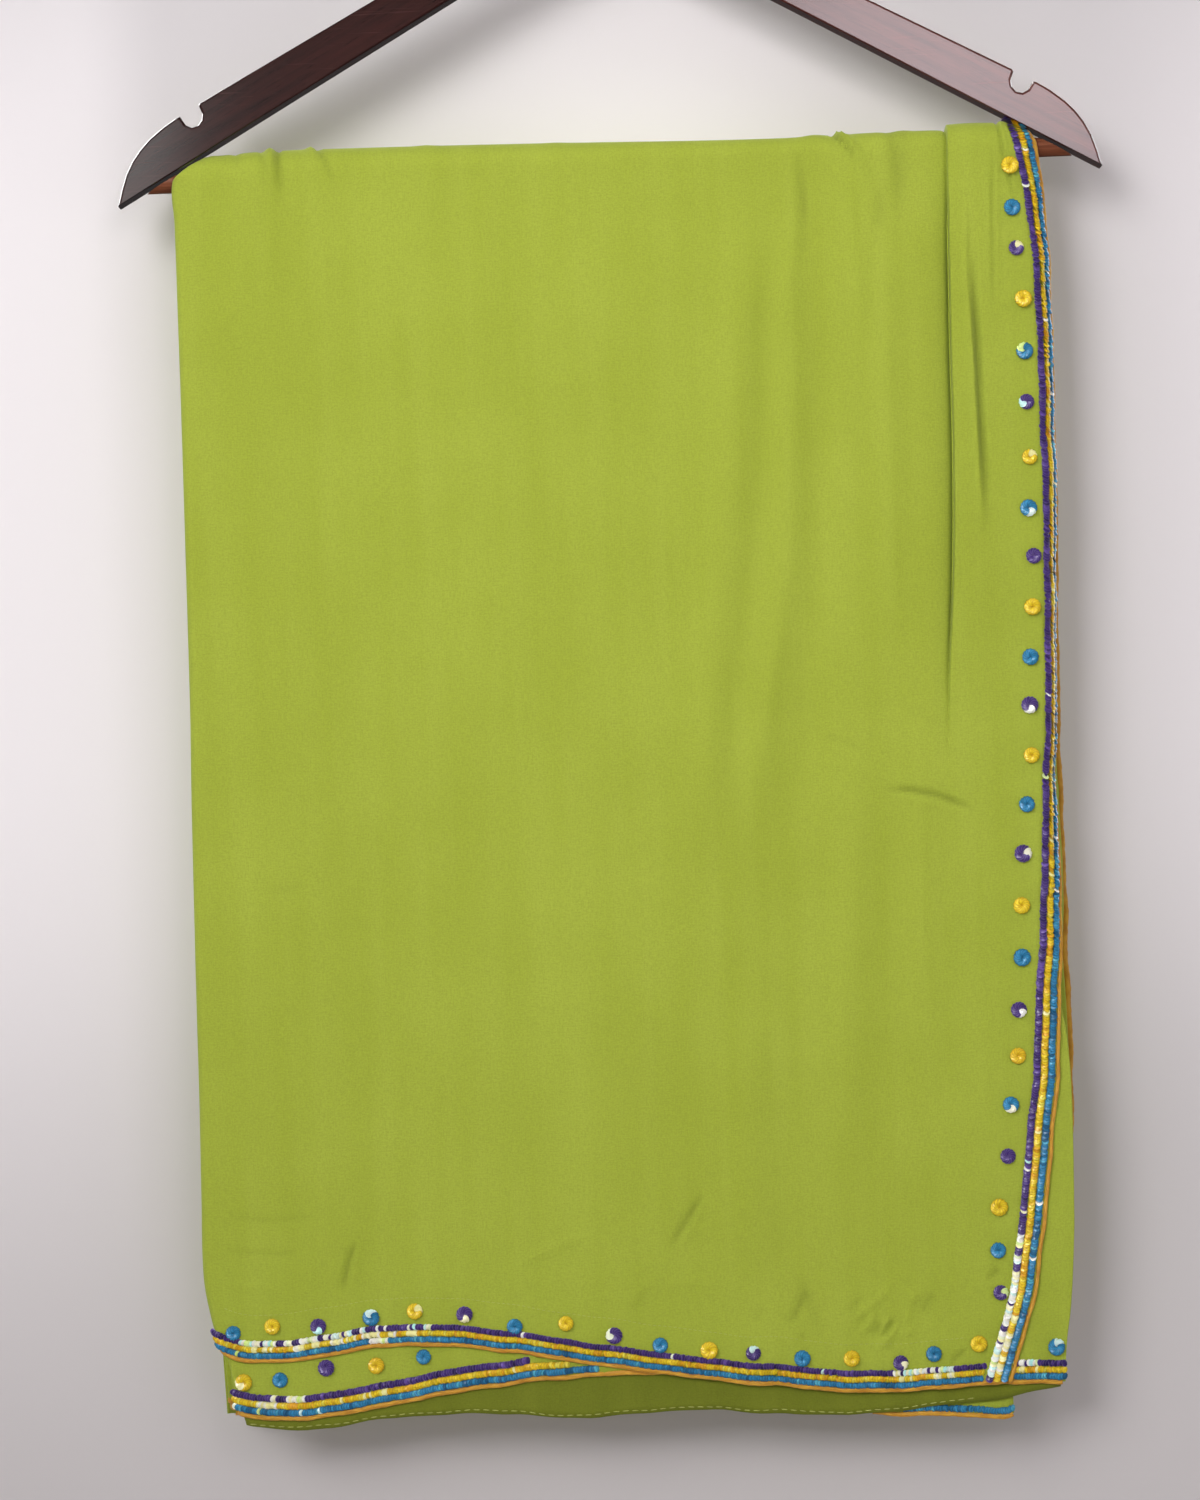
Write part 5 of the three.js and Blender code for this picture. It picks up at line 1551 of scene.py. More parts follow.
@dataclass
class TopLayer:
    """The top layer: front drop, over the bar, back drop, with its end edge at the right.

    Attributes:
        outer: Depth of its outer face.
        wall: Thickness of the cloth.
        margin: How far its edges stop inside the piping's outer edge.
        slack: How much deeper its coarse inner face lies, clear of the creases.
    """

    outer: float = 0.1
    wall: float = 0.8
    margin: float = 1.3
    slack: float = 0.9
    FINE = (-160.0, -120.0, -15.0, 30.0, 90.0)  # x of the limits between finer and coarser columns
    COUNTS = (8, 14, 28, 34, 24, 26, 30, 16, 20, 24, 8, 8)

    def columns(self, s: Array) -> Array:
        """q of every column at each s.

        Args:
            s: Places down the cloth, one for each column.

        Returns:
            q of each column.
        """
        start, tuck, band = DRAPE.fold_start(s), DRAPE.tuck(s), DRAPE.band_start(s)
        ends = np.stack(
            [
                start - 6, start, *(np.full(start.shape, x) for x in self.FINE), tuck - 3, tuck + 1.5,
                tuck + 12.5, band, band + BEND, band + BAND - self.margin,
            ]
        )
        segment, share = stretches(self.COUNTS)
        number = np.arange(len(segment))
        return ends[segment, number] * (1 - share) + ends[segment + 1, number] * share

    @staticmethod
    def rows() -> Array:
        """Nominal s of every row, from the front hem to the back hem."""
        return np.concatenate(
            [
                spaced(FRONT_NOMINAL, 535, 12),
                spaced(535, 455, 52),
                spaced(455, 310, 44),
                spaced(310, 255, 40),
                spaced(255, 45, 60),
                spaced(45, -CREST_LENGTH - 12, 64),
                spaced(-CREST_LENGTH - 12, -560, 100),
                np.linspace(-560, -CREST_LENGTH - BACK_NOMINAL, 9),
            ]
        )

    def make(self, finishes: Finishes) -> Piece:
        """Builds the sheet.

        Args:
            finishes: The finishes.

        Returns:
            The piece.
        """
        q = np.empty((sum(self.COUNTS) + 1, len(self.rows())))
        s = np.empty_like(q)
        for row, nominal in enumerate(self.rows()):
            at = np.full(q.shape[0], nominal)
            for _ in range(3):
                across = self.columns(at)
                front = DRAPE.hem("front", across) - self.margin - FRONT_NOMINAL
                back = DRAPE.hem("back", across) - self.margin - BACK_NOMINAL
                at = follow_hems(nominal, front, back)
            q[:, row], s[:, row] = across, at
        outer = DRAPE.point(q, s, self.outer)
        inner = DRAPE.point(q, s, self.outer + self.wall + self.slack * DRAPE.within(q, s))
        piece = closed_sheet("top_cloth", outer, inner, np.stack([q, s], -1), 4)
        # each vertex of the outer face carries how much painted crease shade the cloth's colour gets
        hollow = np.zeros(len(piece.data.vertices), np.float32)
        hollow[: q.size] = DRAPE.hollow(q, s).ravel()
        piece.data.attributes.new("hollow", "FLOAT", "POINT").data.foreach_set("value", hollow)
        return settle(piece, "saree_cloth", finishes.cloth, "top_layer")


@dataclass
class HiddenLayers:
    """The layers between the top one and the bar, folded back and forth.

    Attributes:
        count: Layers in each drop.
        short: How far their hems lie above the wrong-side layer's hem.
        jog: Greatest unevenness of a folded edge.
        wall: Share of the pitch from layer to layer that the cloth fills.
        flat_steps: Columns of each flat layer.
        turn_steps: Columns of each fold.
    """

    count: int = 12
    short: float = 9.0
    jog: float = 1.1
    wall: float = 0.55
    flat_steps: int = 20
    turn_steps: int = 5
    ROLL = (0.42, 1.1)  # half thickness and half height of the rolled edge

    def path(self) -> tuple[Array, Array, Array]:
        """The cross-section, from the outermost layer to the innermost.

        Returns:
            Share across each layer, layer number with its fraction, and how far round a fold.
        """
        across, layer, bulge = [], [], []
        for number in range(self.count):
            ease = np.linspace(0, 1, self.flat_steps + 1)
            flat = 0.5 - 0.5 * np.cos(math.pi * ease)
            across.append(flat if number % 2 == 0 else 1 - flat)
            layer.append(np.full(flat.shape, float(number)))
            bulge.append(np.zeros(flat.shape))
            if number + 1 < self.count:
                turn = (np.arange(self.turn_steps) + 1) / (self.turn_steps + 1) * math.pi
                across.append(np.full(turn.shape, 1.0 if number % 2 == 0 else 0.0))
                layer.append(number + 0.5 - 0.5 * np.cos(turn))
                bulge.append(np.sin(turn))
        return np.concatenate(across), np.concatenate(layer), np.concatenate(bulge)

    def jogged(self, layer: Array, s: Array, side: int) -> Array:
        """Unevenness of the folded edges, for each fold and place down the cloth."""
        fold = np.floor((layer + (1 if side < 0 else 0)) / 2)
        wave = Waves((210.0, 340.0, 95.0), 30 + side)
        return self.jog * wave(s + 137.0 * fold) * 0.6 + self.jog * 0.5 * np.sin(fold * 2.4 + side)

    def hem_lift(self, layer: Array, q: Array) -> Array:
        """How far each layer's hem lies above the lowest."""
        return 2.6 + 2.2 * np.sin(layer * 2.1 + q / 90.0) + 1.1 * np.sin(layer * 3.7 - q / 41.0)

    def place(
        self, nominal: Array, across: Array, layer: Array, bulge: Array, half: Array | float
    ) -> Array:
        """Points of the folded sheet.

        Args:
            nominal: Nominal place down the cloth.
            across: Share across the layer.
            layer: Layer number with its fraction.
            bulge: How far round a fold.
            half: Layers to move out by, for the wall.

        Returns:
            Points in millimetres.
        """
        s = nominal
        for _ in range(2):
            start, band = DRAPE.fold_start(s), DRAPE.band_start(s)
            end = DRAPE.core_side(s) - 1.2 + self.jogged(layer, s, 1)
            left = start - 0.6 + 0.5 * self.jogged(layer, s, -1)
            q = left + (band + end - left) * across
            front = DRAPE.hem("wrong", q) - self.short - self.hem_lift(layer, q) - FRONT_NOMINAL
            back = DRAPE.hem("back", q) - 5.0 - self.hem_lift(layer + 7.0, q) - BACK_NOMINAL
            s = follow_hems(nominal, front, back)
        share = (layer + 0.5 + half) / self.count
        outer = DRAPE.point(q, s, DRAPE.core_depth(s) + 0.1 + DRAPE.clearance(q, s))
        y, z, out_y, out_z = DRAPE.spine(s)
        height = (outer[..., 1] - y) * out_y + (outer[..., 2] - z) * out_z
        edge = DRAPE.point(band + end, s, DRAPE.core_depth(s))[..., 0]
        past = np.clip((q - band) / np.maximum(end, 0.1), 0, 1)
        deep_x = np.where(q > band, band + (edge - band) * past, np.clip(q, start - 2.2, None))
        x = outer[..., 0] * (1 - share) + deep_x * share
        reach = 0.55 + 0.35 * smooth_step(0.2, 1.0, height / 10)
        side = np.where(across > 0.5, 1.0, -1.0)
        x = x + side * bulge * reach * (1 + half)
        height = height * (1 - share)
        return np.stack([x, y + height * out_y, z + height * out_z], -1)

    def rows(self) -> Array:
        """Nominal s of every row, from the front hem to the back hem."""
        return np.concatenate(
            [
                spaced(FRONT_NOMINAL, 500, 6),
                spaced(500, 20, 24),
                spaced(20, -CREST_LENGTH - 20, 18),
                spaced(-CREST_LENGTH - 20, -530, 22),
                np.linspace(-530, -CREST_LENGTH - BACK_NOMINAL, 6),
            ]
        )

    def make(self, finishes: Finishes) -> list[Piece]:
        """Builds the folded sheet and the piping of its two hems.

        Args:
            finishes: The finishes.

        Returns:
            The sheet, then the two pipings.
        """
        across, layer, bulge = self.path()
        rows = self.rows()
        grid = [np.repeat(part[:, None], len(rows), axis=1) for part in (across, layer, bulge)]
        s = np.repeat(rows[None, :], len(across), axis=0)
        facing = np.where((np.floor(layer + 0.5) % 2 == 0), 1.0, -1.0)
        turn_sign = np.cos(np.pi * (layer - np.floor(layer)))
        base = np.where(np.floor(layer) % 2 == 0, 1.0, -1.0)
        sign = np.where(bulge > 0, base * turn_sign, facing)[:, None]
        half = 0.5 * self.wall
        outer = self.place(s, *grid, -half * sign)
        inner = self.place(s, *grid, half * sign)
        outer, inner = self.rounded(outer, inner, grid)
        length = run_along(outer[:, 10])
        lay = np.stack([np.repeat(length[:, None], len(rows), axis=1), s], -1)
        cloth = closed_sheet("hidden_cloth", outer, inner, lay)
        settle(cloth, "saree_cloth", finishes.cloth, "folded_core")
        pipings = []
        for name, nominal in (("front", FRONT_NOMINAL), ("back", -CREST_LENGTH - BACK_NOMINAL)):
            middle = self.place(np.full(across.shape, nominal), across, layer, bulge, 0.0)
            pipings.append(self.piping(f"hidden_{name}_piping", middle, finishes))
        return [cloth, *pipings]

    def rounded(self, outer: Array, inner: Array, grid: list[Array]) -> tuple[Array, Array]:
        """Gives the folds a wall of their own thickness, measured square to the fold."""
        middle = (outer + inner) / 2
        wall = np.linalg.norm(outer - inner, axis=-1)
        flat = grid[2] == 0
        level = np.nanmean(np.where(flat, wall, np.nan), axis=0, keepdims=True)
        along, down = (unit(np.gradient(middle, axis=axis)) for axis in (0, 1))
        square = unit(np.cross(along, down))
        sign = np.sign(np.sum((outer - inner) * square, axis=-1, keepdims=True))
        sign = np.where(flat[..., None], sign, np.nan)
        known = np.sign(np.nansum(sign[: self.flat_steps - 1, 10:12]))
        half = 0.5 * np.minimum(level, 0.6)[..., None] * square * known
        return middle + half, middle - half

    def piping(self, name: str, middle: Array, finishes: Finishes) -> Piece:
        """A rolled edge along the bottom of the folded layers.

        Args:
            name: Name of the piece.
            middle: Points along the edge.
            finishes: The finishes.

        Returns:
            The piece.
        """
        along = unit(np.gradient(middle, axis=0))
        side = unit(np.cross(along, (0.0, 0.0, 1.0)))
        up = np.cross(side, along)
        angles = np.arange(8) / 8 * 2 * math.pi
        cosine, sine = np.cos(angles)[:, None], np.sin(angles)[:, None]
        half_thick, half_high = self.ROLL
        rings = middle[:, None] + (half_thick * cosine * side[:, None] + half_high * sine * up[:, None])
        gone = run_along(middle)
        lay = np.stack(np.broadcast_arrays(gone[:, None], angles[None, :] * 1.2), -1)
        return settle(lofted(name, rings, lay), "ochre_piping", finishes.piping)


@dataclass
class SecondLayer:
    """The second layer that shows: below the top hem at the left, past its edge at the right.

    Attributes:
        outer: Depth of its outer face.
        wall: Thickness of the cloth.
        margin: How far it stops above the hem's line.
        rise: Height that is made, above the hem.
        fold_run: Length that is made past the right-hand fold.
    """

    outer: float = LAYER + 0.1
    wall: float = 0.8
    margin: float = 1.3
    rise: float = 172.0
    fold_run: float = 4.0

    def side_end(self, s: Array) -> Array:
        """Length past the turn at which its right-hand edge folds under."""
        return DRAPE.run_to_reach(DRAPE.second_side(s) - DRAPE.SIDE_REACH, s)

    def make(self, finishes: Finishes) -> Piece:
        """Builds the sheet.

        Args:
            finishes: The finishes.

        Returns:
            The piece.
        """
        rises = np.concatenate([spaced(0, 30, 14), np.linspace(30, self.rise, 34)])
        segment, share = stretches((6, 44, 10, 16, 10))
        s = np.repeat(np.full(len(rises), FRONT_NOMINAL)[None] - rises, len(segment), axis=0)
        for _ in range(3):
            start, tuck, band = DRAPE.fold_start(s), DRAPE.tuck(s), DRAPE.band_start(s)
            side = band + self.side_end(s)
            ends = np.stack([start - 3.4, start, tuck, band, side, side + self.fold_run])
            number = np.arange(len(segment))
            q = (
                ends[segment, number] * (1 - share)[:, None]
                + ends[segment + 1, number] * share[:, None]
            )
            s = DRAPE.hem("second", q) - self.margin - rises[None]
        depth = self.outer + DRAPE.CLEAR * DRAPE.covered(q, s)
        outer = DRAPE.point(q, s, depth, self.side_end(s))
        inner = DRAPE.point(q, s, depth + self.wall, self.side_end(s))
        piece = closed_sheet("second_cloth", outer, inner, np.stack([q, s], -1))
        return settle(piece, "saree_cloth", finishes.cloth, "second_layer")


@dataclass
class HemStrip:
    """A flat layer of which only the bottom shows, between two places across.

    Attributes:
        name: Name of the piece.
        node: Solid that it stands for.
        hem: Which bottom edge it has.
        x_from: Left end.
        x_to: Right end.
        outer: Depth of its outer face.
        rise: Height that is made, above the hem.
        margin: How far it stops above the hem's line.
        wall: Thickness of the cloth.
    """

    name: str
    node: str
    hem: str
    x_from: float
    x_to: float
    outer: float
    rise: float
    margin: float
    wall: float = 0.7

    def make(self, finish: Paint) -> Piece:
        """Builds the sheet.

        Args:
            finish: Its material.

        Returns:
            The piece.
        """
        across = max(int((self.x_to - self.x_from) / 4), 12)
        x = np.linspace(self.x_from, self.x_to, across + 1)
        rises = np.linspace(0, self.rise, 22)
        q = np.repeat(x[:, None], len(rises), axis=1)
        s = DRAPE.hem(self.hem, q) - self.margin - rises[None]
        outer = DRAPE.point(q, s, self.outer)
        inner = DRAPE.point(q, s, self.outer + self.wall)
        piece = closed_sheet(self.name, outer, inner, np.stack([q, s], -1))
        return settle(piece, "saree_cloth", finish, self.node)


# ------------------------------------------------------------------------------- the trims
@dataclass
class Piping:
    """Ochre satin rolled over a stitched edge, with the small pulls of its stitches.

    Attributes:
        edge: The edge that it binds.
        half_width: Half its width on the cloth.
        half_thick: Half its thickness.
        centre: Depth of its centre.
        sides: Points round it.
        step: Distance from one ring of points to the next.
    """

    edge: Edge
    half_width: float = 1.15
    half_thick: float = 0.8
    centre: float = 0.4
    sides: int = 12
    step: float = 1.1
    END_TAPER = (1.3, 0.45, 40, 360)  # share of the end's width over the bar, loss below, limits in s

    def make(self, finishes: Finishes) -> Piece:
        """Builds the tube.

        Args:
            finishes: The finishes.

        Returns:
            The piece.
        """
        line = edge_line(self.edge, PIPING_WIDTH / 2).evenly(self.step)
        places, along, outward = line.framed(self.centre)
        side = np.cross(along, outward)
        gone = run_along(places)
        pull = Waves((3.3, 5.1, 8.7), 40 + len(self.edge.value))(gone)
        wander = Waves((17.0, 29.0, 47.0), 50 + len(self.edge.value))(gone)
        places = places + side * (0.16 * wander)[:, None]
        angles = (np.arange(self.sides) + 0.5) / self.sides * 2 * math.pi
        cosine, sine = np.cos(angles), np.sin(angles)
        half = self.half_width * (1 + 0.07 * pull)
        if self.edge is Edge.END:
            full, loss, low, high = self.END_TAPER
            half = half * (full - loss * smooth_step(low, high, line.s))
        wide = half[:, None] * np.sign(cosine) * np.abs(cosine) ** 0.8
        thick = self.half_thick * (1 + 0.10 * pull)[:, None] * np.sign(sine) * np.abs(sine) ** 0.8
        rings = places[:, None] + wide[..., None] * side[:, None] + thick[..., None] * outward[:, None]
        lay = np.stack(np.broadcast_arrays(gone[:, None], angles[None] * 1.1), -1)
        piece = lofted(f"{self.edge.value}_bias_piping", rings, lay)
        return settle(piece, "ochre_piping", finishes.piping, f"{self.edge.value}_piping")


B, Y, P = Colour.BLUE, Colour.YELLOW, Colour.PURPLE
# where the sequins get painted highlights, for where they catch the light: edge, row, least and greatest x
# or s, and how many do
GLINT_ZONES = (
    (Edge.FRONT, P, -189, -180, 1),
    (Edge.FRONT, P, -179, -122, 0.55),
    (Edge.FRONT, Y, -187, -152, 0.5),
    (Edge.FRONT, Y, -150, -108, 0.35),
    (Edge.FRONT, B, -131, -122, 0.5),
    (Edge.FRONT, P, -118, -98, 0.3),
    (Edge.FRONT, P, 103, 133, 0.7),
    (Edge.FRONT, Y, 103, 133, 0.45),
    (Edge.END, P, 452, 466, 0.6),
    (Edge.END, P, 492, 556, 0.85),
    (Edge.END, Y, 528, 556, 0.6),
    (Edge.CORNER, P, 160, 171, 0.7),
    (Edge.CORNER, Y, 160, 171, 0.5),
    (Edge.SECOND, Y, -184, -172, 0.8),
    (Edge.SECOND, P, -176, -160, 0.45),
    (Edge.SECOND, Y, -136, -120, 0.4),
)
# how wide the rows of each edge's border lie, beside the end border's
SPREAD = {Edge.FRONT: 0.8, Edge.SECOND: 0.9, Edge.CORNER: 0.88, Edge.LOWER: 0.9}


@dataclass
class SequinRow:
    """One row of overlapping sequins along an edge.

    Attributes:
        edge: The edge that it follows.
        colour: Colour of its sequins.
        diameter: Width of a sequin.
        pitch: Distance from one sequin to the next.
        tilt: Lean of each on the one before, in radians.
        lift: Height of their centres above the cloth.
        q_to: Where it ends at the right.
    """

    edge: Edge
    colour: Colour
    diameter: float = 3.5
    pitch: float = 1.2
    tilt: float = 0.66
    lift: float = 0.75
    q_to: float = 1e3
    STRAY_ASIDE, STRAY_OUT = 0.14, 0.06  # how far sequins stray across the row and off the cloth
    # STRAY_GLINTS: share of sequins given painted highlights outside the zones
    STRAY_GLINTS = 0.014  # share that glints outside the zones

    def make(self, tree: Repeat, finishes: Finishes) -> Piece:
        """Lays the row.

        Args:
            tree: The tree that lays sequins on guide points.
            finishes: The finishes.

        Returns:
            The piece.
        """
        seed = 100 * list(Edge).index(self.edge) + list(Colour).index(self.colour)
        rng = np.random.default_rng(seed)
        spread = SPREAD.get(self.edge, 1.0)
        line = edge_line(self.edge, ROW_RISES[self.colour.value] * spread, q_to=self.q_to).evenly(self.pitch)
        places, along, outward = line.framed(-self.lift)
        for direction, stray in ((np.cross(along, outward), self.STRAY_ASIDE), (outward, self.STRAY_OUT)):
            places = places + direction * rng.uniform(-stray, stray, len(places))[:, None]
        # the sequins picked here glint: their colour gets a painted highlight
        glint = rng.random(len(places)) < self.STRAY_GLINTS
        at = line.s if self.edge is Edge.END else line.q
        for edge, colour, low, high, share in GLINT_ZONES:
            if (edge, colour) == (self.edge, self.colour):
                runs = 0.5 + 0.5 * np.sin(Waves((7.0, 11.0, 17.0), seed + 3)(at) * 2.4)
                glint |= (at > low) & (at < high) & (runs < share)
        patches = Waves((21.0, 47.0, 9.0), seed)(at)
        shade = np.clip(0.48 + 0.24 * patches + rng.normal(0, 0.24, len(places)), 0, 1)
        values = {
            "outward": outward,
            "along": along,
            "shade": shade,
            "glint": glint.astype(float),
            "petal": np.zeros(len(places)),
        }
        name = f"{self.edge.value}_sequins_{self.colour.value}"
        sizes = {
            "Diameter": self.diameter * min(1.0, spread * 1.06) * MM,
            "Dome": 0.34 * MM,
            "Tilt": self.tilt,
            "Scatter": 0.12,
            "Sides": 9,
            "Seed": seed,
            "Finish": finishes.sequins[self.colour],
        }
        piece = tree.make(name, guide_points(name + "_guide", places, values), sizes)
        node = f"{self.edge.value}_row_{self.colour.value}"
        return settle(piece, f"sequins_{self.colour.value}", finishes.sequins[self.colour], node)


# rosettes of the front: x, s, colour, and whether a few of its sequins get painted highlights
HEM_ROSETTES = (
    (-192.0, 522.9, B, 0), (-174.2, 520.6, Y, 0), (-153.4, 521.4, P, 1), (-129.3, 518.3, B, 1),
    (-109.7, 516.4, Y, 1), (-87.1, 518.7, P, 1), (-64.7, 525.1, B, 0), (-41.6, 524.7, Y, 0),
    (-20.1, 531.0, P, 1), (0.5, 536.4, B, 0), (22.6, 539.6, Y, 0), (42.4, 541.4, P, 1),
    (64.5, 545.0, B, 0), (86.7, 545.9, Y, 0), (108.8, 548.7, P, 1), (123.9, 545.2, B, 0),
    (144.4, 541.6, Y, 0),
)
END_ROSETTES = (
    (155.3, 518.9, P, 1), (154.8, 499.9, B, 0), (156.1, 480.4, Y, 0), (161.1, 457.5, P, 0),
    (163.4, 434.5, B, 1), (167.5, 412.5, Y, 0), (168.8, 391.7, P, 1), (171.2, 368.2, B, 0),
    (172.2, 344.7, Y, 0), (173.6, 321.2, P, 1), (176.3, 299.1, B, 0), (179.5, 277.0, Y, 0),
    (179.6, 254.3, P, 1), (180.9, 232.6, B, 0), (182.8, 210.0, Y, 0), (184.2, 187.0, P, 0),
    (182.9, 165.2, B, 1), (184.3, 142.1, Y, 1), (184.0, 117.2, P, 1), (184.0, 94.1, B, 1),
    (184.6, 70.5, Y, 0), (182.4, 47.3, P, 1), (181.3, 28.7, B, 0), (181.2, 9.6, Y, 0),
)
SECOND_ROSETTES = (
    (-188.4, 545.4, Y, 1), (-171.8, 545.0, B, 0), (-150.7, 540.4, P, 0), (-128.1, 540.4, Y, 0),
    (-106.6, 537.3, B, 0), (179.4, 544.7, B, 1),
)


@dataclass
class Rosettes:
    """The rosettes of sequins scattered inside the borders, one colour to a piece.

    Attributes:
        petals: Sequins in a rosette.
        ring: Distance of their centres from its centre.
        diameter: Width of a sequin.
        lean: How far each stands up, in radians.
        lift: Height of their centres above the cloth.
        pitch: Distance from one rosette to the next where none is listed.
    """

    petals: int = 13
    ring: float = 1.95
    diameter: float = 3.75
    lean: float = 0.62
    lift: float = 1.1
    pitch: float = 22.0

    def listed(self) -> list[tuple[float, float, float, Colour, float]]:
        """Every rosette: q, s, depth, colour and whether it has painted highlights."""
        rows = [(x, s, 0.0, colour, float(glint)) for x, s, colour, glint in HEM_ROSETTES + END_ROSETTES]
        rows += [(x, s, LAYER, colour, float(glint)) for x, s, colour, glint in SECOND_ROSETTES]
        order = (P, B, Y)
        for number in range(26):
            s = -36.0 - self.pitch * number
            if s < -CREST_LENGTH - BACK_NOMINAL + 22:
                break
            wander = 0.9 * math.sin(2.3 * number)
            q = float(DRAPE.band_start(s)) - 6.4 + wander
            rows.append((q, s, 0.0, order[number % 3], float(number % 4 == 1)))
        for number in range(18):
            q = -190.0 + self.pitch * 0.98 * number + 1.2 * math.sin(1.7 * number)
            if q > float(DRAPE.band_start(-560)) - 16:
                break
            s = -CREST_LENGTH - float(DRAPE.hem("back", q)) + 15.5 + 0.9 * math.sin(2.9 * number)
            rows.append((q, s, 0.0, order[(number + 1) % 3], float(number % 5 == 2)))
        return rows

    def make(self, tree: Repeat, finishes: Finishes) -> list[Piece]:
        """Sets the rosettes.

        Args:
            tree: The tree that sets a rosette on each guide point.
            finishes: The finishes.

        Returns:
            One piece for each colour.
        """
        pieces = []
        for number, colour in enumerate(Colour):
            rows = [row for row in self.listed() if row[3] is colour]
            q, s, depth = (np.array([row[part] for row in rows]) for part in range(3))
            places = DRAPE.point(q, s, depth)
            outward = unit(DRAPE.point(q, s, depth - 1.0) - places)
            along = unit(DRAPE.point(q, s + 1.0, depth) - places)
            rng = np.random.default_rng(70 + number)
            values = {
                "outward": outward,
                "along": along,
                "shade": np.clip(rng.normal(0.55, 0.16, len(rows)), 0, 1),
                "glint": np.array([row[4] for row in rows]),
            }
            name = f"rosettes_{colour.value}"
            sizes = {
                "Petals": self.petals,
                "Ring": self.ring * MM,
                "Diameter": self.diameter * MM,
                "Dome": 0.45 * MM,
                "Lean": self.lean,
                "Lift": self.lift * MM,
                "Sides": 10,
                "Seed": 7 + number,
                "Finish": finishes.sequins[colour],
            }
            piece = tree.make(name, guide_points(name + "_guide", places, values), sizes)
            pieces.append(settle(piece, f"sequins_{colour.value}", finishes.sequins[colour]))
        return pieces


@dataclass
class RunningStitch:
    """A running stitch that follows a bottom edge.

    Attributes:
        name: Name of the piece.
        hem: Bottom edge that it follows.
        q_from: Its left end.
        q_to: Its right end.
        depth: Depth of the layer's outer face.
        rise: Height above the edge.
        pitch: Distance from one stitch to the next.
        length: Length of a stitch.
        width: Thickness of the thread.
    """

    name: str
    hem: str
    q_from: float
    q_to: float
    depth: float
    rise: float
    pitch: float
    length: float
    width: float

    def make(self, tree: Repeat, finish: Paint) -> Piece:
        """Sews the stitches.

        Args:
            tree: The tree that sets a stitch on each guide point.
            finish: The thread's material.

        Returns:
            The piece.
        """
        q = np.linspace(self.q_from, self.q_to, 900)
        s = DRAPE.hem(self.hem, q) - self.rise + 0.3 * Waves((43.0, 71.0), 19)(q)
        places, along, outward = Line(q, s, self.depth).evenly(self.pitch).framed()
        values = {"outward": outward, "along": along}
        sizes = {
            "Length": self.length * MM,
            "Width": self.width * MM,
            "Sides": 6,
            "Seed": 12,
            "Finish": finish,
        }
        piece = tree.make(self.name, guide_points(self.name + "_guide", places, values), sizes)
        return settle(piece, "saree_cloth", finish)


# ------------------------------------------------------------------------------ the hanger
@dataclass
class HangerHook:
    """The wire hook: a shank, an S-bend, and an open round bend over the rail.

    Attributes:
        wire: Half the thickness of the wire.
        bend: Radius of the round bend.
        start_angle: Where the round bend starts, in degrees from level at the right.
        end_angle: Where it ends.
        foot: Height of the shank's foot.
        sides: Points round the wire.
    """

    wire: float = 2.0
    bend: float = 21.0
    start_angle: float = -58.0
    end_angle: float = 196.0
    foot: float = -64.7
    sides: int = 20

    def make(self, finishes: Finishes) -> Piece:
        """Builds the wire.

        Args:
            finishes: The finishes.

        Returns:
            The piece.
        """
        start = math.radians(self.start_angle)
        centre = np.array([0.0, self.wire - self.bend])
        first = centre + self.bend * np.array([math.cos(start), math.sin(start)])
        tangent = np.array([-math.sin(start), math.cos(start)])
        foot = np.array([0.0, self.foot])
        controls = [foot, foot + (0, 12), first - 9 * tangent, first]
        t = np.linspace(0, 1, 24, endpoint=False)[:, None]
        weights = ((1 - t) ** 3, 3 * t * (1 - t) ** 2, 3 * t * t * (1 - t), t**3)
        shank = sum(weight * control for weight, control in zip(weights, controls))
        angles = np.radians(np.linspace(self.start_angle, self.end_angle, 72))
        arc = centre + self.bend * np.stack([np.cos(angles), np.sin(angles)], -1)
        path = np.concatenate([shank, arc])
        last = unit(path[-1] - path[-2])
        tip = [path[-1] + last * reach for reach in (0.7, 1.2, 1.6, 1.8)]
        path = np.concatenate([path, tip])
        radius = np.full(len(path), self.wire)
        radius[-4:] = self.wire * np.array([0.93, 0.78, 0.52, 0.25])
        along = unit(np.gradient(path, axis=0))
        across = np.stack([along[:, 1], np.zeros(len(path)), -along[:, 0]], -1)
        places = np.stack([path[:, 0], np.zeros(len(path)), path[:, 1]], -1)
        round_ = np.arange(self.sides) / self.sides * 2 * math.pi
        out = np.array([0.0, 1.0, 0.0])
        rings = places[:, None] + radius[:, None, None] * (
            np.cos(round_)[None, :, None] * across[:, None] + np.sin(round_)[None, :, None] * out
        )
        gone = run_along(path)
        lay = np.stack(np.broadcast_arrays(gone[:, None], round_[None] * self.wire), -1)
        return settle(lofted("hook_wire", rings, lay), "hook_steel", finishes.steel, "hanger_hook")


def dress_hanger(finishes: Finishes) -> None:
    """Gives the arms and the bar their wood."""
    for node, finish in (
        ("hanger_arm_left", finishes.arm_left),
        ("hanger_arm_right", finishes.arm_right),
        ("hanger_bar", finishes.bar),
    ):
        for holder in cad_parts[node].material_slots:
            holder.material = finish
        LOG.info("%s: dressed", node)


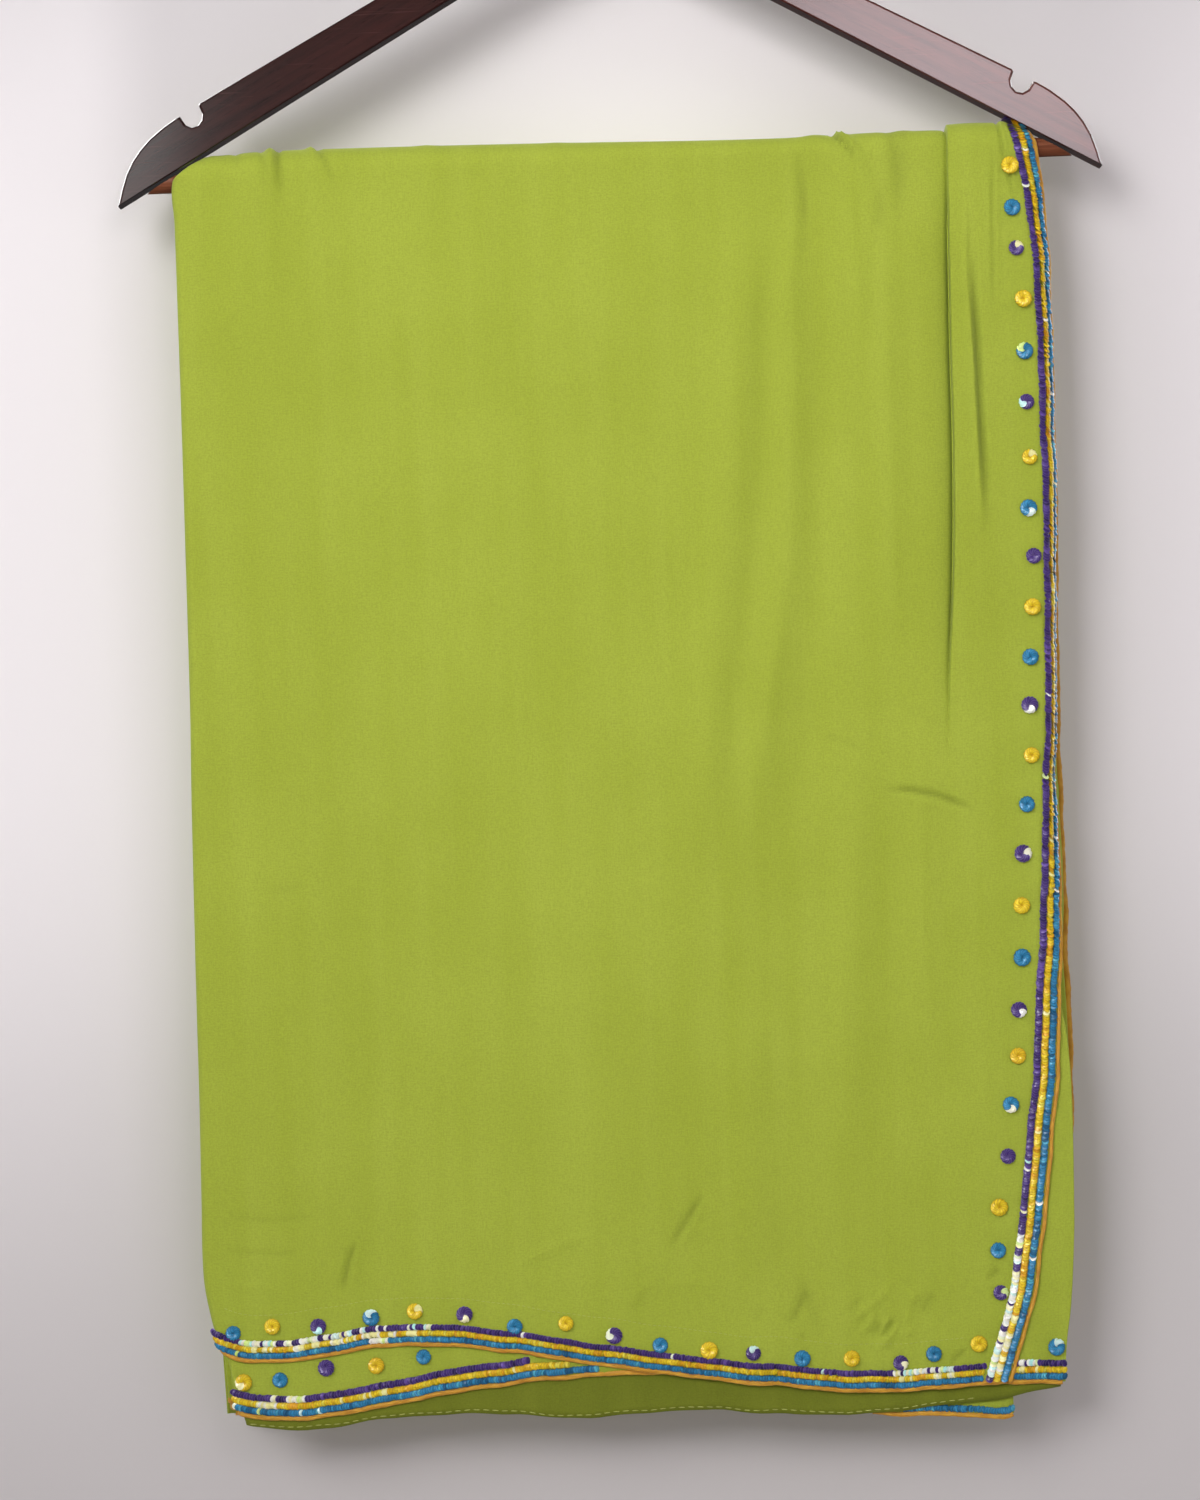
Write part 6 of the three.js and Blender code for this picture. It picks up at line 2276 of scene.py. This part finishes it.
# ------------------------------------------------------------------------------ the studio
@dataclass
class Studio:
    """Camera, softboxes and a seamless pale room round the object.

    Attributes:
        camera: Place of the camera, in millimetres.
        roll: How far the view is turned, in degrees.
        lens: Lens for a sensor 36 mm long.
        floor: Height of the floor, in metres.
        radius: Distance of the room's side, in metres.
        wall: Distance of the wall behind the bar, in metres.
        wall_box: Its left, right, bottom and top, in metres.
    """

    camera: tuple[float, float, float] = (-15.379, -1700.0, -464.347)
    roll: float = -2.4
    lens: float = 36 * 3723.08 / 1500
    floor: float = -1.45
    radius: float = 6.0
    wall: float = 0.04
    wall_box: tuple[float, float, float, float] = (-0.85, 0.85, -1.3, 0.45)

    def make(self) -> None:
        """Builds the camera, the lights and the room."""
        self.make_camera()
        self.make_lights()
        self.make_room()
        self.make_wall()

    def make_camera(self) -> None:
        """Adds the camera."""
        data = bpy.data.cameras.new("camera")
        data.lens, data.sensor_width = self.lens, 36.0
        data.clip_start, data.clip_end = 0.05, 60.0
        camera = linked("camera", data)
        turn = Matrix.Rotation(math.radians(90), 4, "X") @ Matrix.Rotation(math.radians(self.roll), 4, "Z")
        camera.matrix_world = Matrix.Translation(Vector(self.camera) * MM) @ turn
        bpy.context.scene.camera = camera

    @staticmethod
    def softbox(
        name: str, place: tuple, aim: tuple, size: tuple, power: float, warm: RGB, spread: float = 180.0
    ) -> None:
        """Adds one area light.

        Args:
            name: Name of the light.
            place: Where it stands, in metres.
            aim: What it points at.
            size: Width and height.
            power: Watts.
            warm: Colour of its light.
            spread: Angle that its light is kept within, in degrees.
        """
        data = bpy.data.lights.new(name, "AREA")
        data.shape, data.size, data.size_y = "RECTANGLE", *size
        data.energy, data.color, data.spread = power, warm, math.radians(spread)
        light = linked(name, data)
        light.location = place
        light.rotation_euler = (Vector(aim) - Vector(place)).to_track_quat("-Z", "Y").to_euler()

    def make_lights(self) -> None:
        """Adds the key at the left, a fill at the right, a light overhead and two behind."""
        aim = (0.0, 0.0, -0.35)
        self.softbox("key", (-0.89, -2, 0.48), (-0.03, 0, -0.28), (1.05, 1.2), 3.3, (1, 0.985, 0.975), 46)
        self.softbox("fill", (0.37, -2.0, 0.2), (0.1, 0.0, -0.3), (0.42, 0.36), 1.5, (1.0, 0.9, 0.94), 110)
        self.softbox("side", (1.3, -1.35, -0.4), (0.05, 0.0, -0.45), (0.9, 1.0), 1.9, (1.0, 0.985, 0.985))
        self.softbox("overhead", (-0.1, -0.75, 1.15), (-0.05, 0.0, -0.3), (0.9, 0.5), 1.6, (1.0, 0.99, 0.99))
        self.softbox("back_left", (-1.4, 2.0, 0.9), aim, (1.1, 1.1), 26, (1.0, 0.99, 0.98))
        self.softbox("back_right", (1.7, 1.7, 0.4), aim, (0.9, 1.3), 16, (0.97, 0.98, 1.0))

    def make_room(self) -> None:
        """Adds the floor, wall and ceiling as one seamless bowl."""
        cove = self.radius * 0.5
        profile = [(cove, self.floor)]
        for step in range(1, 13):
            angle = step / 12 * math.pi / 2
            profile.append((cove + cove * math.sin(angle), self.floor + cove * (1 - math.cos(angle))))
        for step in range(1, 16):
            angle = step / 16 * math.pi / 2
            up = self.floor + cove + self.radius * math.sin(angle)
            profile.append((self.radius * math.cos(angle), up))
        sides = 64
        vertices, faces = [], []
        for out, up in profile:
            for side in range(sides):
                angle = side / sides * 2 * math.pi
                vertices.append((out * math.cos(angle), out * math.sin(angle), up))
        rings = len(profile)
        for ring in range(rings - 1):
            for side in range(sides):
                after = (side + 1) % sides
                low, high = ring * sides, (ring + 1) * sides
                faces.append((low + after, low + side, high + side, high + after))
        faces.append(tuple(range(sides)))
        faces.append(tuple((rings - 1) * sides + side for side in reversed(range(sides))))
        mesh = bpy.data.meshes.new("room")
        mesh.from_pydata(vertices, [], faces)
        mesh.polygons.foreach_set("use_smooth", np.ones(len(mesh.polygons), bool))
        room = linked("room", mesh)
        mesh.materials.append(surfaced("room_paint", self.room_paint))

    @staticmethod
    def room_paint(bench: Bench) -> Placed:
        """Pale paint that glows evenly, lighting the object as a soft fill, and darkens a little towards the
        floor; it glows more to the camera and less in reflections.
        """
        _, _, up = bench.split(bench.place())
        stops = ((0.0, srgb(180, 176, 175)), (0.5, srgb(208, 204, 204)), (1.0, srgb(226, 222, 223)))
        tone = bench.ramp(up.between(-4.6, 1.9), stops)
        path = bench.node("ShaderNodeLightPath")
        strength = 0.62 + path.out("Is Camera Ray") * 0.38 - path.out("Is Glossy Ray") * 0.52
        return bench.node("ShaderNodeEmission", None, {"Color": tone, "Strength": strength})

    def make_wall(self) -> None:
        """Adds the wall just behind the hanging cloth, seen only from in front."""
        left, right, low, high = self.wall_box
        mesh = bpy.data.meshes.new("wall")
        corners = ((left, low), (right, low), (right, high), (left, high))
        mesh.from_pydata([(x, self.wall, z) for x, z in corners], [], [(0, 1, 2, 3)])
        wall = linked("wall", mesh)
        mesh.materials.append(surfaced("wall_paint", self.wall_paint))
        for rays in ("diffuse", "glossy", "transmission", "volume_scatter", "shadow"):
            setattr(wall, f"visible_{rays}", False)

    def wall_paint(self, bench: Bench) -> Placed:
        """Pale paint that fades out towards the wall's edges and is clear from behind, with painted light
        brightest at mid height, painted shade towards the top and bottom, and painted shadows beside the
        cloth.
        """
        x, _, z = bench.split(bench.place())
        left, right, low, high = self.wall_box
        ends = x.between(left, left + 0.3) * x.between(right, right - 0.3)
        ends = ends * z.between(low, low + 0.3) * z.between(high, high - 0.3)
        square = 1.0 - bench.node("ShaderNodeLayerWeight").out("Facing")
        front = square.between(0.35, 0.6) * (1.0 - bench.node("ShaderNodeNewGeometry").out("Backfacing"))
        # painted light: brightest at mid height, with painted shade darker towards the top and the bottom
        tone = bench.mix(z.between(0.04, -0.22), srgb(218, 215, 217), srgb(250, 246, 249))
        tone = bench.mix(z.between(-0.45, -0.85), tone, srgb(202, 198, 199))
        # painted shadows on the wall beside the cloth's sides
        painted_wall_shadow = x.between(0.02, 0.17) * 0.2 + x.between(0.3, 0.22) * 0.09
        painted_wall_shadow = painted_wall_shadow + x.between(-0.25, -0.2) * x.between(0.0, -0.15) * 0.15
        tone = bench.mix(painted_wall_shadow * z.between(-0.84, -0.6), tone, (0.0, 0.0, 0.0))
        face = bench.node("ShaderNodeBsdfDiffuse", None, {"Color": tone})
        clear = bench.node("ShaderNodeBsdfTransparent")
        return bench.node("ShaderNodeMixShader", None, {0: ends * front, 1: clear.out(0), 2: face.out(0)})


def main() -> None:
    """Builds every piece in order."""
    logging.basicConfig(level=logging.INFO, format="%(message)s")
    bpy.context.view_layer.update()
    bpy.context.scene.view_settings.view_transform = "Standard"
    Studio().make()
    finishes = Finishes()
    top = TopLayer().make(finishes)
    hidden, *hidden_pipings = HiddenLayers().make(finishes)
    second = SecondLayer().make(finishes)
    wrong = HemStrip(
        "wrong_side_cloth", "wrong_side_layer", "wrong", -189.0, 181.0, 2 * LAYER + 0.1, 70.0, 0.0
    ).make(finishes.wrong_side)
    lower = HemStrip(
        "lower_cloth", "lower_layer", "lower", *LOWER_SPAN, 3 * LAYER + 0.7, 42.0, 1.3
    ).make(finishes.cloth)
    pipings = {
        edge: Piping(edge).make(finishes)
        for edge in (Edge.END, Edge.FRONT, Edge.BACK, Edge.SECOND, Edge.LOWER)
    }
    tree = sequin_tree()
    rows = []
    for edge in (Edge.END, Edge.FRONT, Edge.BACK, Edge.CORNER):
        rows += [SequinRow(edge, colour).make(tree, finishes) for colour in Colour]
    ends = {Colour.BLUE: -28.0, Colour.YELLOW: -41.0, Colour.PURPLE: -59.0}
    rows += [SequinRow(Edge.SECOND, colour, q_to=ends[colour]).make(tree, finishes) for colour in Colour]
    rows.append(SequinRow(Edge.LOWER, Colour.BLUE, lift=0.45).make(tree, finishes))
    rosettes = Rosettes().make(rosette_tree(), finishes)
    sewing = stitch_tree()
    stitches = RunningStitch(
        "wrong_side_stitches", "wrong", -187.0, 142.0, 2 * LAYER + 0.05, 1.4, 4.2, 3.2, 0.5
    ).make(sewing, finishes.stitch)
    tonal = RunningStitch(
        "tonal_stitches", "front", -196.0, 138.0, 0.06, 22.0, 2.3, 1.7, 0.3
    ).make(sewing, finishes.tonal)
    HangerHook().make(finishes)
    dress_hanger(finishes)
    on_top = [row for row in rows if row.name.split("_sequins")[0] in ("end", "front_hem", "back_hem")]


if __name__ == "__main__":
    main()
